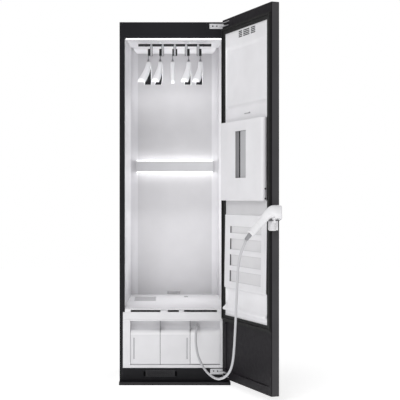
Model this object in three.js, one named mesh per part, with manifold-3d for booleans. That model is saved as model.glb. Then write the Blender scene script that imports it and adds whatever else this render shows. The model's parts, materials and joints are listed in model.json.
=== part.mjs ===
// Clothes care steam cabinet: a tall cabinet with a heated chamber, a bar of hangers, water tanks below,
// and a full-height door with a trouser press and a handheld steamer on its free edge.
// Millimetres, +X to the viewer's right, +Y to the back, +Z up. The origin is on the floor, in the middle
// of the cabinet's front plane. The door is modelled closed and then turned open about its hinge axis.
import * as THREE from 'three';
import { mergeVertices } from 'three/addons/utils/BufferGeometryUtils.js';
import Module from 'manifold-3d';

const wasm = await Module();
wasm.setup();

// Whole cabinet
const cabinetWidth = 600;
const cabinetHeight = 1960;
const cabinetDepth = 540;
const fitGap = 0.3;
const overrun = 2;
const roundSteps = 5;

// Sheet casing
const sheet = 2;
const sideSheet = 1.2;
const postWidth = 29;
const postWidthLow = 18;
const postDepth = 16;
const postRound = 3;
const sideInset = 23;
const coverThickness = 4;
const coverRib = 12;
const headerHeight = 83;
const backThickness = 1.2;
const louvreCount = 8;
const louvreWidth = 90;
const louvreHeight = 7;
const louvrePitch = 18;
const louvreBase = 90;

// Plinth, feet, base pan and kick panel
const plinthHeight = 14;
const plinthFront = 58;
const plinthBack = 70;
const plinthBevel = 5;
const footRadius = 20;
const footStem = 8;
const footPad = 8;
const footInset = 50;
const panWall = 2;
const panHeight = 26;
const kickTop = 84;
const kickDepth = 12;
const coverLow = 36;
const coverHigh = 72;
const coverLeft = -160;
const coverRight = 2;
const coverRecess = 3.5;
const coverNotch = 10;
const coverSlotCount = 3;
const coverSlot = 3;

// Lower module
const moduleTop = 387;
const moduleWidth = cabinetWidth - 2 * postWidthLow;
const moduleDepth = 320;
const recessLeft = -(cabinetWidth / 2 - 58);
const recessRight = cabinetWidth / 2 - 54;
const recessLow = kickTop + 16;
const recessHigh = moduleTop - 48.5;
const moduleFace = 12;
const moduleWall = 4;
const dividerWidth = 3;
const dividerFront = 30;
const bayCount = 3;
const frontSet = 6;
const frontSplit = 0.4;
const frontRound = 4;
const lipHeight = recessHigh - 53.5;
const lipRound = 9;
const gripDip = 4;
const gripDepth = 52;
const gripRise = 15;
const tankTop = recessHigh - 3.5;
const flangeDepth = 23.5;
const tankSide = 2.5;
const tankFront = 5;
const windowWidth = 8;
const windowLow = recessLow + 30;
const windowHigh = lipHeight - 37;
const windowDepth = 2;
const windowInset = 18;
const recessWallLow = lipHeight - 5.5;
const recessWallThick = 4;
const wedgeFront = 26;
const wedgeTop = lipHeight - 4;
const wedgeRise = lipHeight + 12;

// Tilting steamer bin
const binPivotY = 12;
const binPivotZ = recessLow + 6;
const binWall = 2.5;
const binFloor = recessLow + 3;
const binDepth = 76;
const binRim = lipHeight - 23;
const binFrontThick = 14;
const pinRadius = 3;
const lugThick = 3;
const lugTop = recessLow + 14;

// Hose socket
const socketX = 124;
const socketZ = recessHigh - 32.5;
const socketFlange = 14;
const socketFlangeThick = 4;
const socketNeck = 9;
const socketFront = 40;

// Chamber
const chamberFront = cabinetWidth / 2 - postWidth;
const chamberBackHalf = chamberFront - 14;
const chamberBack = 480;
const chamberCorner = 15;
const chamberCeiling = cabinetHeight - 75;
const linerThick = 6;
const wallThick = 3;
const ceilingCove = 30;
const floorFront = moduleTop + 17;
const floorRear = floorFront + 36;
const floorThick = 9;
const lipLow = floorFront - 5;
const lipDepth = 18;
const slotLeft = -chamberFront + 32;
const slotRight = chamberFront - 41;
const filterLeft = -chamberFront + 41;
const filterRight = filterLeft + 123;
const filterFront = 250;
const filterBack = 395;
const filterDepth = 48;
const filterSlots = 8;
const filterSlot = 6;
const outletLeft = -43;
const outletRight = 32;
const outletLow = floorRear + 3;
const outletHigh = outletLow + 19;
const outletSlots = 9;
const outletSlot = 4;
const barLightHalf = chamberBackHalf - 30;
const barLightShare = 0.5105;
const barLightLow = Math.round(floorFront + barLightShare * (chamberCeiling - floorFront));
const barLightHigh = barLightLow + 63;
const barLightProud = 18;
const barLightCover = 8;
const barLightRound = 4;
const diffuserInset = 4;
const topLightHeight = 9;
const topLightDepth = 24;

// Hanger bar, clips and hangers
const barHalf = chamberFront - 65;
const barRadius = 7.5;
const barY = 215;
const barZ = chamberCeiling - 19;
const stemSpacing = 84;
const stemRadius = 4;
const slotTravel = 25;
const slotClear = 2;
const carriageWidth = 26;
const carriageThick = 6;
const carriageEnd = 14;
const clipShares = [-0.64, -0.33, 0, 0.31, 0.635];
const clipX = clipShares.map((share) => Math.round(share * barHalf));
const clipSide = [-1, -1, -1, 1, 1];
const clipOffset = 14;
const strapWidth = 15;
const strapThick = 2;
const clipBottom = barZ - 60;
const clipBlockTop = barZ - 21;
const clipBlockWidth = 14;
const clipBlockHalf = 9;
const hangerTop = clipBottom - 31;
const hangerDrop = 104;
const hangerHalf = 170;
const hangerNecks = [22, 22, 24, 22, 22];
const hangerTips = [46, 46, 20, 46, 46];
const hangerHeightNeck = 18;
const hangerHeightTip = 26;
const hangerWall = 2.5;
const hangerTilt = 11;
const hangerBend = [-18, -18, 0, -16, -16];
const hangerTwist = [-10, -5, 2, -8, -10];
const neckRadius = 2.4;
const neckSeat = 10;

// Machine room
const compressorShare = -0.5333;
const exchangerLeftShare = -0.2333;
const exchangerRightShare = 0.2667;
const fanShare = 0.6;
const compressorX = Math.round(compressorShare * cabinetWidth / 2);
const compressorY = 430;
const compressorRadius = 56;
const compressorHeight = 160;
const compressorFoot = 12;
const compressorPlate = 4;
const exchangerLeft = Math.round(exchangerLeftShare * cabinetWidth / 2);
const exchangerRight = Math.round(exchangerRightShare * cabinetWidth / 2);
const exchangerFront = 350;
const exchangerBack = 500;
const exchangerHeight = 220;
const exchangerFins = 11;
const exchangerFin = 2;
const exchangerTube = 7;
const generatorLeft = cabinetWidth / 2 - 190;
const generatorRight = generatorLeft + 130;
const generatorFront = 340;
const generatorDeep = 48;
const generatorHeight = 110;
const generatorRound = 14;
const generatorNozzle = 8;
const fanX = Math.round(fanShare * cabinetWidth / 2);
const fanZ = 150;
const fanFront = 410;
const fanBack = 475;
const fanRadius = 55;
const fanGrowth = 22;
const fanClear = 6;
const fanWall = 3;
const fanInlet = 40;
const fanBlades = 14;
const fanBladeThick = 2;
const fanBladeChord = 18;
const fanHub = 14;
const fanBoss = 6;
const fanDisc = 3;
const fanFootHalf = 40;
const driveLeft = -40;
const driveRight = 40;
const driveFront = 250;
const driveDeep = 70;
const driveHeight = 38;
const driveRound = 8;
const driveShaft = 5;

// Door
const openAngle = 111;
const hingeX = cabinetWidth / 2 - 11;
const hingeY = -42;
const doorHalf = cabinetWidth / 2 - 2;
const doorInner = -10;
const doorOuter = -52;
const doorLow = 40;
const doorHigh = cabinetHeight;
const glassThick = 4;
const doorRound = 3;
const linerHinge = doorHalf - 46;
const linerFree = -linerHinge;
const linerLow = moduleTop - 5;
const linerHigh = doorHigh - 80;
const linerSkin = 4;
const insetLow = 83;
const insetHigh = moduleTop - 43;
const insetHinge = doorHalf - 36;
const insetFree = -doorHalf + 24;
const insetDepth = 6;
const insulationThick = 20;
const frameFloor = 5;
const frameWall = 4;
const notchDepth = 53;
const notchPlay = 5;
const hingePin = 3.5;
const hingeEye = 5.5;
const hingePlate = 5;
const eyeStart = 215;
const eyeEnd = 395;
const armThick = 5;
const armRoot = 12;
const topPlateLeft = hingeX - 101;
const topPlateRight = hingeX - 24;
const topPlateLow = doorHigh - 37;
const topPlateHigh = doorHigh - 10;
const topArm = doorHigh - 26;
const lowPlateLeft = hingeX - 97;
const lowPlateRight = hingeX - 27;
const lowPlateLow = 50;
const lowPlateHigh = 80;
const lowArm = 60;
const pinReach = 18;
const armX = hingeX - 39;

// Liner profile: height on the door and how far it stands out of the frame
const flushOut = 2;
const creaseHighShare = 0.9433;
const creaseLowShare = 0.727;
const bandHighShare = 0.4079;
const bandLowShare = 0.3578;
const panelLowShare = 0.1001;
const hollowShare = 0.0587;
const dripHighShare = 0.0307;
const dripLowShare = 0.0214;
const pocketLowShares = [0.2937, 0.2363, 0.1796, 0.1235];
const pocketHighShares = [0.3178, 0.2744, 0.2183, 0.1622];
const pressHighShare = 0.6816;
const gripLowShare = 0.4853;
const gripHighShare = 0.6462;
const holderLowShare = 0.3111;
const linerLevel = (share) => Math.round(linerLow + share * (linerHigh - linerLow));
const creaseHigh = linerLevel(creaseHighShare);
const creaseLow = linerLevel(creaseLowShare);
const creaseFall = 8;
const insetOut = -1;
const bandHigh = linerLevel(bandHighShare);
const bandLow = linerLevel(bandLowShare);
const bandOut = -1;
const panelLow = linerLevel(panelLowShare);
const panelTopOut = 3;
const panelLowOut = 9;
const hollowZ = linerLevel(hollowShare);
const hollowOut = -3;
const dripHigh = linerLevel(dripHighShare);
const dripLow = linerLevel(dripLowShare);
const dripOut = 19.5;
const dripRound = 5;
const pocketHinge = 183;
const pocketFree = -194;
const pocketDepth = 15;
const pocketWall = 2.5;
const pocketLows = pocketLowShares.map(linerLevel);
const pocketHighs = pocketHighShares.map(linerLevel);
const ventLow = linerHigh - 42;
const ventPitch = 9;
const ventSlot = 4.5;
const ventRows = 4;
const ventLefts = [38, -49, -118];
const ventRights = [81, 25, -66];

// Gasket
const gasketOut = doorHalf - 6;
const gasketFlange = 38;
const gasketLow = moduleTop - 40;
const gasketHigh = doorHigh - 44;
const gasketBase = 2.4;
const bulbOut = doorHalf - 7;
const bulbWidth = 10;
const bulbHigh = doorHigh - 49;
const bulbLow = gasketLow + 9;
const bulbRound = 3;

// Trouser press cover and latch
const pressHinge = linerHinge + 2;
const pressFree = linerFree;
const pressLow = bandHigh;
const pressHigh = linerLevel(pressHighShare);
const pressOut = 29;
const pressWall = 3;
const pressBevel = 11;
const pressEdge = 3;
const gripHinge = 64;
const gripFree = -63;
const gripLow = linerLevel(gripLowShare);
const gripHigh = linerLevel(gripHighShare);
const gripRound = 5;
const boardOut = 12;
const boardInset = 22;
const latchLow = pressLow + 5;
const latchHigh = latchLow + 58;
const latchTravel = 6;
const latchWidth = 9;
const latchDeep = 8;
const latchOut = 1;

// Steamer holder and handheld steamer, in closed-door coordinates
const steamerX = -doorHalf - 43;
const holderFaceOut = -43;
const holderIn = 18;
const holderLow = linerLevel(holderLowShare);
const holderHigh = holderLow + 57;
const holderReach = doorHalf + 68;
const holderClear = doorHalf + 5;
const holderFlange = 9;
const holderNeckIn = -28;
const holderRound = 12;
const pegWidth = 24;
const pegDeep = 18;
const pegLow = holderHigh - 21;
const pegY = 2;
const headFront = -28;
const plateFace = -39;
const plateRound = 13;
const plateHoles = 4;
const plateHole = 3;
const plateGroove = 2;
const headHalfWidth = 29;
const headHalfHeight = 38;
const headZ = holderHigh + 29;
const shoulderY = 6;
const shoulderZ = headZ + 4;
const neckY = 34;
const neckZ = headZ - 12;
const handleY = 58;
const handleZ = headZ - 34;
const handleEndY = 132;
const handleEndZ = headZ - 102;
const handleRadius = 16;
const shoulderHalf = 28;
const shoulderHigh = 32;
const neckHalf = 20;
const neckHigh = 22;
const bootTipY = 147;
const bootTipZ = handleEndZ - 26;
const bootWide = 11;
const bootThin = 8;
const buttonRadius = 7;
const buttonDepth = 4;
const buttonProud = 2.5;
const buttonTravel = 2.5;
const buttonAlong = 22;

// Steam hose: its route from the socket to the boot of the steamer
const hoseRadius = 6;
const hoseSides = 8;
const hoseStep = 30;
const hoseLowRoute = [
  [124, 39.7, 306], [123.6, 22, 306], [123, 2, 305.6], [120, -26, 300.5], [114.8, -52, 284],
  [112.4, -72, 254], [113.8, -84, 222], [118.5, -94, 188], [127, -110, 157], [141, -138, 128],
  [160, -184, 102], [188, -254, 84.5], [212, -320, 81], [234, -385, 92], [257, -448, 117],
  [275, -502, 155], [285, -540, 205], [289.5, -562, 262], [292.5, -578, 325], [294.4, -592, 380],
  [295.4, -599, 413],
];
const hoseHighRoute = [
  [295.4, -599.05, 413.3], [296.4, -606, 447], [297.6, -615, 490], [299, -624, 532], [300.2, -634, 578],
  [301.8, -645, 622], [303.6, -656, 661], [306.5, -667.5, 694], [311, -679, 723], [316.5, -688.5, 746],
  [322.3, -695, 763], [328, -699, 777], [333.5, -700.8, 790.5], [338.2, -700.5, 804.5],
];

// Shapes of outlines, as shares of the sizes that they follow
const hangerStationShares = [1, 0.975, 0.92, 0.8, 0.64, 0.47, 0.3, 0.14];
const hangerRoundShares = [0.8, 0.93, 0.99, 1, 1, 1, 1, 1];
const hangerSlopeShare = 1.3;
const hangerSquareShare = 0.6;

// Colours
const black = { color: 0x26262a, roughness: 0.45, metalness: 0.1 };
const dark = { color: 0x38383c, roughness: 0.55, metalness: 0 };
const white = { color: 0xe6e4e8, roughness: 0.4, metalness: 0 };
const grey = { color: 0xb9b9be, roughness: 0.5, metalness: 0 };
const lamp = { color: 0xffffff, roughness: 0.5, metalness: 0 };
const steel = { color: 0xb8bcc0, roughness: 0.3, metalness: 0.9 };
const zinc = { color: 0x8d9093, roughness: 0.5, metalness: 0.7 };
const rubber = { color: 0x1c1c1e, roughness: 0.8, metalness: 0 };
const mirror = { color: 0x1b1c20, roughness: 0.12, metalness: 0.3 };
const copper = { color: 0xa9704a, roughness: 0.4, metalness: 0.8 };
const foam = { color: 0xd8d4c4, roughness: 0.9, metalness: 0 };

const cabinetHalf = cabinetWidth / 2;
const sideInner = cabinetHalf - sideInset;
const part = new THREE.Group();

// Helpers: closed meshes become solids, which are joined and cut, and go back to meshes
function toSolid(geometry) {
  const bare = geometry.clone();
  bare.deleteAttribute('normal');
  bare.deleteAttribute('uv');
  const merged = mergeVertices(bare);
  return new wasm.Manifold(new wasm.Mesh({
    numProp: 3,
    vertProperties: merged.attributes.position.array,
    triVerts: new Uint32Array(merged.index.array),
  }));
}

function toGeometry(solid) {
  const mesh = solid.getMesh();
  const geometry = new THREE.BufferGeometry();
  geometry.setAttribute('position', new THREE.BufferAttribute(mesh.vertProperties, 3));
  geometry.setIndex(new THREE.BufferAttribute(mesh.triVerts, 1));
  geometry.computeVertexNormals();
  return geometry;
}

function add(name, solid, look, group = part) {
  const mesh = new THREE.Mesh(toGeometry(solid), new THREE.MeshStandardMaterial(look));
  mesh.name = name;
  group.add(mesh);
}

function join(first, ...others) {
  return others.reduce((whole, piece) => whole.add(piece), first);
}

function cut(first, ...tools) {
  return tools.reduce((whole, tool) => whole.subtract(tool), first);
}

function box(left, right, front, back, low, high) {
  const geometry = new THREE.BoxGeometry(right - left, back - front, high - low);
  geometry.translate((left + right) / 2, (front + back) / 2, (low + high) / 2);
  return toSolid(geometry);
}

// An outline extruded along an axis: its points are [y, z] along x, [x, z] along y and [x, y] along z
function prism(axis, outline, low, high) {
  const swapped = axis === 'y';
  const points = outline.map(([a, b]) => (swapped ? new THREE.Vector2(b, a) : new THREE.Vector2(a, b)));
  const geometry = new THREE.ExtrudeGeometry(new THREE.Shape(points), {
    depth: high - low,
    bevelEnabled: false,
  });
  geometry.translate(0, 0, low);
  const [x, y, z] = [new THREE.Vector3(1, 0, 0), new THREE.Vector3(0, 1, 0), new THREE.Vector3(0, 0, 1)];
  const basis = { x: [y, z, x], y: [z, x, y], z: [x, y, z] }[axis];
  geometry.applyMatrix4(new THREE.Matrix4().makeBasis(...basis));
  return toSolid(geometry);
}

function arc(a, b, radius, from, to, steps = roundSteps) {
  return Array.from({ length: steps + 1 }, (_, i) => {
    const angle = THREE.MathUtils.degToRad(from + ((to - from) * i) / steps);
    return [a + radius * Math.cos(angle), b + radius * Math.sin(angle)];
  });
}

function roundedBox(aLow, aHigh, bLow, bHigh, radius, steps = roundSteps) {
  return [
    ...arc(aHigh - radius, bHigh - radius, radius, 0, 90, steps),
    ...arc(aLow + radius, bHigh - radius, radius, 90, 180, steps),
    ...arc(aLow + radius, bLow + radius, radius, 180, 270, steps),
    ...arc(aHigh - radius, bLow + radius, radius, 270, 360, steps),
  ];
}

function circle(a, b, radius, steps = 4 * roundSteps) {
  return arc(a, b, radius, 0, 360, steps).slice(1);
}

function rod(axis, a, b, radius, low, high, steps) {
  return prism(axis, circle(a, b, radius, steps), low, high);
}

// A closed body through rings of points, all with the same count
function loft(rings) {
  const count = rings[0].length;
  const positions = rings.flat().flatMap((point) => point.toArray());
  const index = [];
  for (let r = 0; r < rings.length - 1; r += 1) {
    for (let i = 0; i < count; i += 1) {
      const a = r * count + i;
      const b = r * count + ((i + 1) % count);
      index.push(a, b, b + count, a, b + count, a + count);
    }
  }
  const last = (rings.length - 1) * count;
  for (let i = 1; i < count - 1; i += 1) {
    index.push(0, i + 1, i);
    index.push(last, last + i, last + i + 1);
  }
  const geometry = new THREE.BufferGeometry();
  geometry.setAttribute('position', new THREE.Float32BufferAttribute(positions, 3));
  geometry.setIndex(index);
  const solid = toSolid(geometry);
  if (solid.volume() > 0) return solid;
  geometry.setIndex(index.slice().reverse());
  return toSolid(geometry);
}

// A revolved body about the z axis through (x, y): the profile holds [radius, z] points
function turned(x, y, profile, steps = 24) {
  const geometry = new THREE.LatheGeometry(profile.map(([r, z]) => new THREE.Vector2(r, z)), steps);
  geometry.rotateX(Math.PI / 2);
  geometry.translate(x, y, 0);
  const solid = toSolid(geometry);
  if (solid.volume() > 0) return solid;
  geometry.setIndex(Array.from(geometry.index.array).reverse());
  return toSolid(geometry);
}

// Plinth, rear feet and base pan
const panBottom = plinthHeight + fitGap;
const panFloor = panBottom + panWall;
const panBackY = cabinetDepth - backThickness - fitGap;
const panHalf = sideInner - fitGap;
const trayHalf = cabinetHalf - sideSheet - fitGap;
const trayFront = postDepth + fitGap;

add('plinth', prism('x', [
  [-plinthFront, 0],
  [plinthBack, 0],
  [plinthBack, plinthHeight],
  [-plinthFront + plinthBevel, plinthHeight],
  [-plinthFront, plinthHeight - plinthBevel],
], -cabinetHalf, cabinetHalf), black);

[['foot_left', -1], ['foot_right', 1]].forEach(([name, side]) => {
  add(name, turned(side * (cabinetHalf - footInset), cabinetDepth - footInset, [
    [0, 0],
    [footRadius, 0],
    [footRadius, footPad - overrun],
    [footRadius - overrun, footPad],
    [footStem, footPad],
    [footStem, plinthHeight],
    [0, plinthHeight],
  ]), rubber);
});

add('base_pan', cut(
  box(-trayHalf, trayHalf, trayFront, panBackY, panBottom, panBottom + panHeight),
  box(-trayHalf + panWall, trayHalf - panWall, trayFront + panWall, panBackY - panWall,
    panFloor, panBottom + panHeight + overrun),
), zinc);

// Kick panel with its service cover
const kickHalf = cabinetHalf - postWidthLow - fitGap;
const coverOutline = roundedBox(coverLeft, coverRight, coverLow, coverHigh, frontRound);
add('kick_panel', cut(
  box(-kickHalf, kickHalf, 0, kickDepth, panBottom, kickTop - fitGap),
  prism('y', coverOutline, -overrun, coverRecess + fitGap),
  box(coverLeft - coverNotch, coverLeft + overrun, -overrun, coverRecess, coverLow + frontRound,
    coverHigh - frontRound),
  box(coverRight - overrun, coverRight + coverNotch, -overrun, coverRecess, coverLow + frontRound,
    coverHigh - frontRound),
), black);
const kickCoverSlots = Array.from({ length: coverSlotCount }, (_, i) => {
  const z = coverLow + ((coverHigh - coverLow) * (i + 1)) / (coverSlotCount + 1);
  return box(coverLeft + coverNotch, coverRight - coverNotch, 0, fitGap + coverRecess / 2,
    z - coverSlot / 2, z + coverSlot / 2);
});
add('kick_cover', cut(
  prism('y', roundedBox(coverLeft + fitGap, coverRight - fitGap, coverLow + fitGap,
    coverHigh - fitGap, frontRound), fitGap, coverRecess),
  ...kickCoverSlots,
), dark);

// Side panels: folded sheet whose front is the visible post, narrower beside the lower module
const sideTop = cabinetHeight - coverThickness - fitGap;
const headerLow = cabinetHeight - headerHeight;
function sidePanel(side) {
  const outer = cabinetHalf;
  const fold = prism('z', [
    [outer, postRound],
    ...arc(outer - postRound, postRound, postRound, 0, -90).slice(1),
    [outer - postWidth, 0],
    [outer - postWidth, postDepth],
    [outer - postWidth + sheet, postDepth],
    [outer - postWidth + sheet, sheet],
    [outer - sideSheet, sheet],
    [outer - sideSheet, cabinetDepth],
    [outer, cabinetDepth],
  ], panBottom, sideTop);
  const lowFold = box(outer - postWidthLow, outer - postWidthLow + sheet, sheet - fitGap, postDepth,
    panBottom, moduleTop + fitGap);
  const solid = join(cut(
    fold,
    box(outer - postWidth - overrun, outer - postWidthLow, -overrun, postDepth + overrun,
      panBottom - overrun, moduleTop + fitGap),
    box(outer - postWidth - overrun, outer + overrun, -overrun, postDepth + fitGap,
      headerLow - fitGap, sideTop + overrun),
  ), lowFold);
  return side > 0 ? solid : solid.mirror([1, 0, 0]);
}
add('side_panel_left', sidePanel(-1), black);
add('side_panel_right', sidePanel(1), black);

add('front_header', prism('x', [
  [0, headerLow],
  [postDepth, headerLow],
  [postDepth, headerLow + sheet],
  [sheet, headerLow + sheet],
  [sheet, cabinetHeight - sheet],
  [postDepth, cabinetHeight - sheet],
  [postDepth, cabinetHeight],
  [0, cabinetHeight],
], -cabinetHalf, cabinetHalf), black);

add('top_cover', join(
  box(-cabinetHalf, cabinetHalf, postDepth + fitGap, cabinetDepth, cabinetHeight - coverThickness,
    cabinetHeight),
  ...[-1, 1].map((side) => {
    const middle = side * (cabinetHalf - sideInset);
    return box(middle - sheet / 2, middle + sheet / 2, postDepth + coverRib, cabinetDepth - coverRib,
      cabinetHeight - coverThickness - coverRib, cabinetHeight - coverThickness + fitGap);
  }),
), black);

const louvres = [-1, 1].flatMap((side) => Array.from({ length: louvreCount }, (_, i) => box(
  side * (cabinetHalf / 2) - louvreWidth / 2, side * (cabinetHalf / 2) + louvreWidth / 2,
  cabinetDepth - backThickness - overrun, cabinetDepth + overrun,
  louvreBase + i * louvrePitch, louvreBase + i * louvrePitch + louvreHeight,
)));
const backHalf = cabinetHalf - sideSheet - fitGap;
add('back_panel', cut(
  box(-backHalf, backHalf, cabinetDepth - backThickness, cabinetDepth, panBottom, sideTop),
  ...louvres,
), zinc);

// Lower module: a white front frame with three bays behind it
const moduleHalf = moduleWidth / 2 - fitGap;
const bayPitch = (recessRight - recessLeft) / bayCount;
const moduleShell = cut(
  box(recessLeft - moduleWall, recessRight + moduleWall, moduleFace - fitGap, moduleDepth,
    recessLow - moduleWall, recessHigh + moduleWall),
  box(recessLeft, recessRight, -overrun, moduleDepth - moduleWall, recessLow, recessHigh),
);
const moduleRing = cut(
  prism('y', [
    [-moduleHalf, kickTop + fitGap],
    [moduleHalf, kickTop + fitGap],
    [moduleHalf, moduleTop - fitGap],
    [-moduleHalf, moduleTop - fitGap],
  ], 0, moduleFace),
  box(recessLeft, recessRight, -overrun, moduleFace + overrun, recessLow, recessHigh),
);
const dividers = [1, 2].map((i) => {
  const x = recessLeft + i * bayPitch;
  return box(x - dividerWidth / 2, x + dividerWidth / 2, dividerFront, moduleDepth - fitGap,
    recessLow - fitGap, recessHigh + fitGap);
});
const binLeft = recessRight - bayPitch;
const gripWall = frontSet + gripDepth;
const recessWall = prism('x', [
  [wedgeFront, recessWallLow],
  [gripWall, recessWallLow],
  [gripWall, recessHigh + fitGap],
  [gripWall - recessWallThick, recessHigh + fitGap],
  [gripWall - recessWallThick, wedgeRise],
  [wedgeFront, wedgeTop],
], binLeft, recessRight + fitGap);
const lugLeft = binLeft + frontSplit + fitGap;
const lug = box(lugLeft, lugLeft + lugThick, binPivotY - 2 * pinRadius, binPivotY + 2 * pinRadius,
  recessLow - fitGap, lugTop);
const pinHole = rod('x', binPivotY, binPivotZ, pinRadius + fitGap, lugLeft - overrun,
  recessRight + moduleWall - fitGap);
const topBevel = prism('x', [
  [-overrun, moduleTop + overrun],
  [-overrun, recessHigh + moduleWall + sheet],
  [0, recessHigh + moduleWall + sheet],
  [sheet, moduleTop - fitGap],
  [sheet, moduleTop + overrun],
], -moduleHalf - overrun, moduleHalf + overrun);
add('module_frame', cut(join(moduleRing, moduleShell, ...dividers, recessWall, lug), pinHole, topBevel),
  white);

// Tanks: a wide front with a rounded lip and a scooped grip behind it, and a narrower body
const tankBack = moduleDepth - moduleWall - fitGap;
const tankLow = recessLow + fitGap;
const tankProfile = [
  [frontSet, tankLow + frontRound],
  [frontSet, lipHeight - lipRound],
  ...arc(frontSet + lipRound, lipHeight - lipRound, lipRound, 180, 70).slice(1),
  [frontSet + 2 * lipRound, lipHeight - gripDip],
  [gripWall, lipHeight + gripRise],
  [gripWall, tankTop],
  [tankBack, tankTop],
  [tankBack, tankLow],
  [frontSet + frontRound, tankLow],
];
function tank(bay) {
  const left = recessLeft + bay * bayPitch + frontSplit;
  const right = recessLeft + (bay + 1) * bayPitch - frontSplit;
  const wide = prism('x', tankProfile, left, right).intersect(
    box(left - overrun, right + overrun, 0, frontSet + flangeDepth, 0, moduleTop),
  );
  const narrow = prism('x', tankProfile, left + tankSide, right - tankSide);
  const inLeft = left + 2 * tankSide;
  const inRight = right - 2 * tankSide;
  const inBack = tankBack - tankSide;
  return cut(
    join(wide, narrow),
    box(inLeft, inRight, frontSet + tankFront, inBack, tankLow + tankSide, lipHeight - 2 * lipRound),
    box(inLeft, inRight, gripWall + tankSide, inBack, tankLow + tankSide, tankTop + overrun),
  );
}
function windowOutline(middle, gap) {
  const half = windowWidth / 2 - gap;
  return roundedBox(middle - half, middle + half, windowLow + gap, windowHigh - gap, half - fitGap, 3);
}
[
  ['supply', 0, recessLeft + windowInset + windowWidth / 2],
  ['drain', 1, recessLeft + 2 * bayPitch - windowInset],
].forEach(([name, bay, middle]) => {
  add(`${name}_tank`, cut(
    tank(bay),
    prism('y', windowOutline(middle, 0), frontSet - overrun, frontSet + windowDepth + fitGap),
  ), white);
  add(`${name}_window`, prism('y', windowOutline(middle, fitGap), frontSet, frontSet + windowDepth),
    grey);
});

// Steamer bin: tilts out about two pins at its lower front edge
const binRight = recessRight - frontSplit - fitGap;
const binFrontLeft = binLeft + frontSplit;
const binBodyLeft = lugLeft + lugThick + fitGap;
const binBodyRight = binRight - tankSide;
const binFrontBack = frontSet + binFrontThick;
const binFront = prism('x', [
  [frontSet, binFloor + frontRound],
  [frontSet, lipHeight - lipRound],
  ...arc(frontSet + lipRound, lipHeight - lipRound, lipRound, 180, 60).slice(1),
  [binFrontBack, lipHeight - lipRound],
  [binFrontBack, binFloor],
  [frontSet + frontRound, binFloor],
], binFrontLeft, binRight);
const binTray = cut(
  box(binBodyLeft, binBodyRight, binFrontBack - fitGap, frontSet + binDepth, binFloor, binRim),
  box(binBodyLeft + binWall, binBodyRight - binWall, binFrontBack, frontSet + binDepth - binWall,
    binFloor + binWall, binRim + overrun),
);
const binPins = join(
  rod('x', binPivotY, binPivotZ, pinRadius, lugLeft + fitGap, binBodyLeft + overrun),
  rod('x', binPivotY, binPivotZ, pinRadius, binRight - overrun, recessRight + moduleWall / 2),
);
const lugNotch = box(binFrontLeft - overrun, binBodyLeft, 0, binFrontBack + overrun, 0,
  lugTop + 2 * pinRadius);
add('steamer_bin', join(cut(join(binFront, binTray), lugNotch), binPins), white);

// Hose socket on the wall behind the bin's lip
const socketBack = gripWall - recessWallThick - fitGap;
add('hose_socket', join(
  rod('y', socketX, socketZ + socketNeck, socketFlange, socketBack - socketFlangeThick, socketBack),
  rod('y', socketX, socketZ, socketNeck, socketFront + fitGap, socketBack),
), dark);

// Chamber floor: slopes to the front, with a slot under its lip and an opening for the lint filter
const floorSlope = (floorRear - floorFront) / chamberBack;
const floorAt = (y) => floorFront + floorSlope * y;
const floorPlate = prism('x', [
  [postDepth + fitGap, floorAt(postDepth)],
  [chamberBack + linerThick, floorAt(chamberBack)],
  [chamberBack + linerThick, floorAt(chamberBack) - floorThick],
  [postDepth + fitGap, floorAt(postDepth) - floorThick],
], -panHalf, panHalf);
const floorLip = prism('x', [
  [sheet, lipLow],
  [0, lipLow + sheet],
  [0, floorFront - sheet],
  [sheet, floorFront],
  [lipDepth, floorAt(lipDepth)],
  [lipDepth, lipLow],
], -chamberFront + fitGap, chamberFront - fitGap);
const lipLegs = [[-chamberFront + fitGap, slotLeft], [slotRight, chamberFront - fitGap]].map(
  ([left, right]) => box(left, right, 0, lipDepth - fitGap, moduleTop, lipLow + sheet),
);
const wellOpen = box(filterLeft, filterRight, filterFront, filterBack, 0, cabinetHeight);
add('chamber_floor', cut(join(floorPlate, floorLip, ...lipLegs), wellOpen), white);

// Lint filter: a slotted cartridge that lifts out of the floor
const filterTop = prism('x', [
  [filterFront + fitGap, floorAt(filterFront)],
  [filterBack - fitGap, floorAt(filterBack)],
  [filterBack - fitGap, floorAt(filterFront) - filterDepth],
  [filterFront + fitGap, floorAt(filterFront) - filterDepth],
], filterLeft + fitGap, filterRight - fitGap);
const filterCuts = Array.from({ length: filterSlots }, (_, i) => {
  const y = filterFront + ((filterBack - filterFront) * (i + 1)) / (filterSlots + 1);
  return box(filterLeft + filterSlot, filterRight - filterSlot, y - filterSlot / 2, y + filterSlot / 2,
    0, cabinetHeight);
});
add('lint_filter', cut(filterTop, ...filterCuts), grey);

// Chamber walls: they narrow to the back and end in a rounded corner
function chamberWall(side) {
  const front = postDepth + fitGap;
  const centreX = chamberBackHalf - chamberCorner;
  const centreY = chamberBack - chamberCorner;
  const solid = cut(
    prism('z', [
      [chamberFront, front],
      ...arc(centreX, centreY, chamberCorner, 0, 90),
      ...arc(centreX, centreY, chamberCorner + wallThick, 90, 0),
      [chamberFront + wallThick, front],
    ], moduleTop, chamberCeiling),
    prism('x', [
      [0, 0],
      [0, floorAt(0) + fitGap],
      [cabinetDepth, floorAt(cabinetDepth) + fitGap],
      [cabinetDepth, 0],
    ], 0, cabinetHalf),
  );
  return side > 0 ? solid : solid.mirror([1, 0, 0]);
}
add('chamber_wall_left', chamberWall(-1), white);
add('chamber_wall_right', chamberWall(1), white);

const backWallHalf = chamberBackHalf - chamberCorner - fitGap;
add('chamber_back', cut(
  box(-backWallHalf, backWallHalf, chamberBack, chamberBack + linerThick,
    floorAt(chamberBack) + fitGap + sheet, chamberCeiling),
  box(outletLeft, outletRight, chamberBack - overrun, chamberBack + linerThick + overrun, outletLow,
    outletHigh),
), white);

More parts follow.
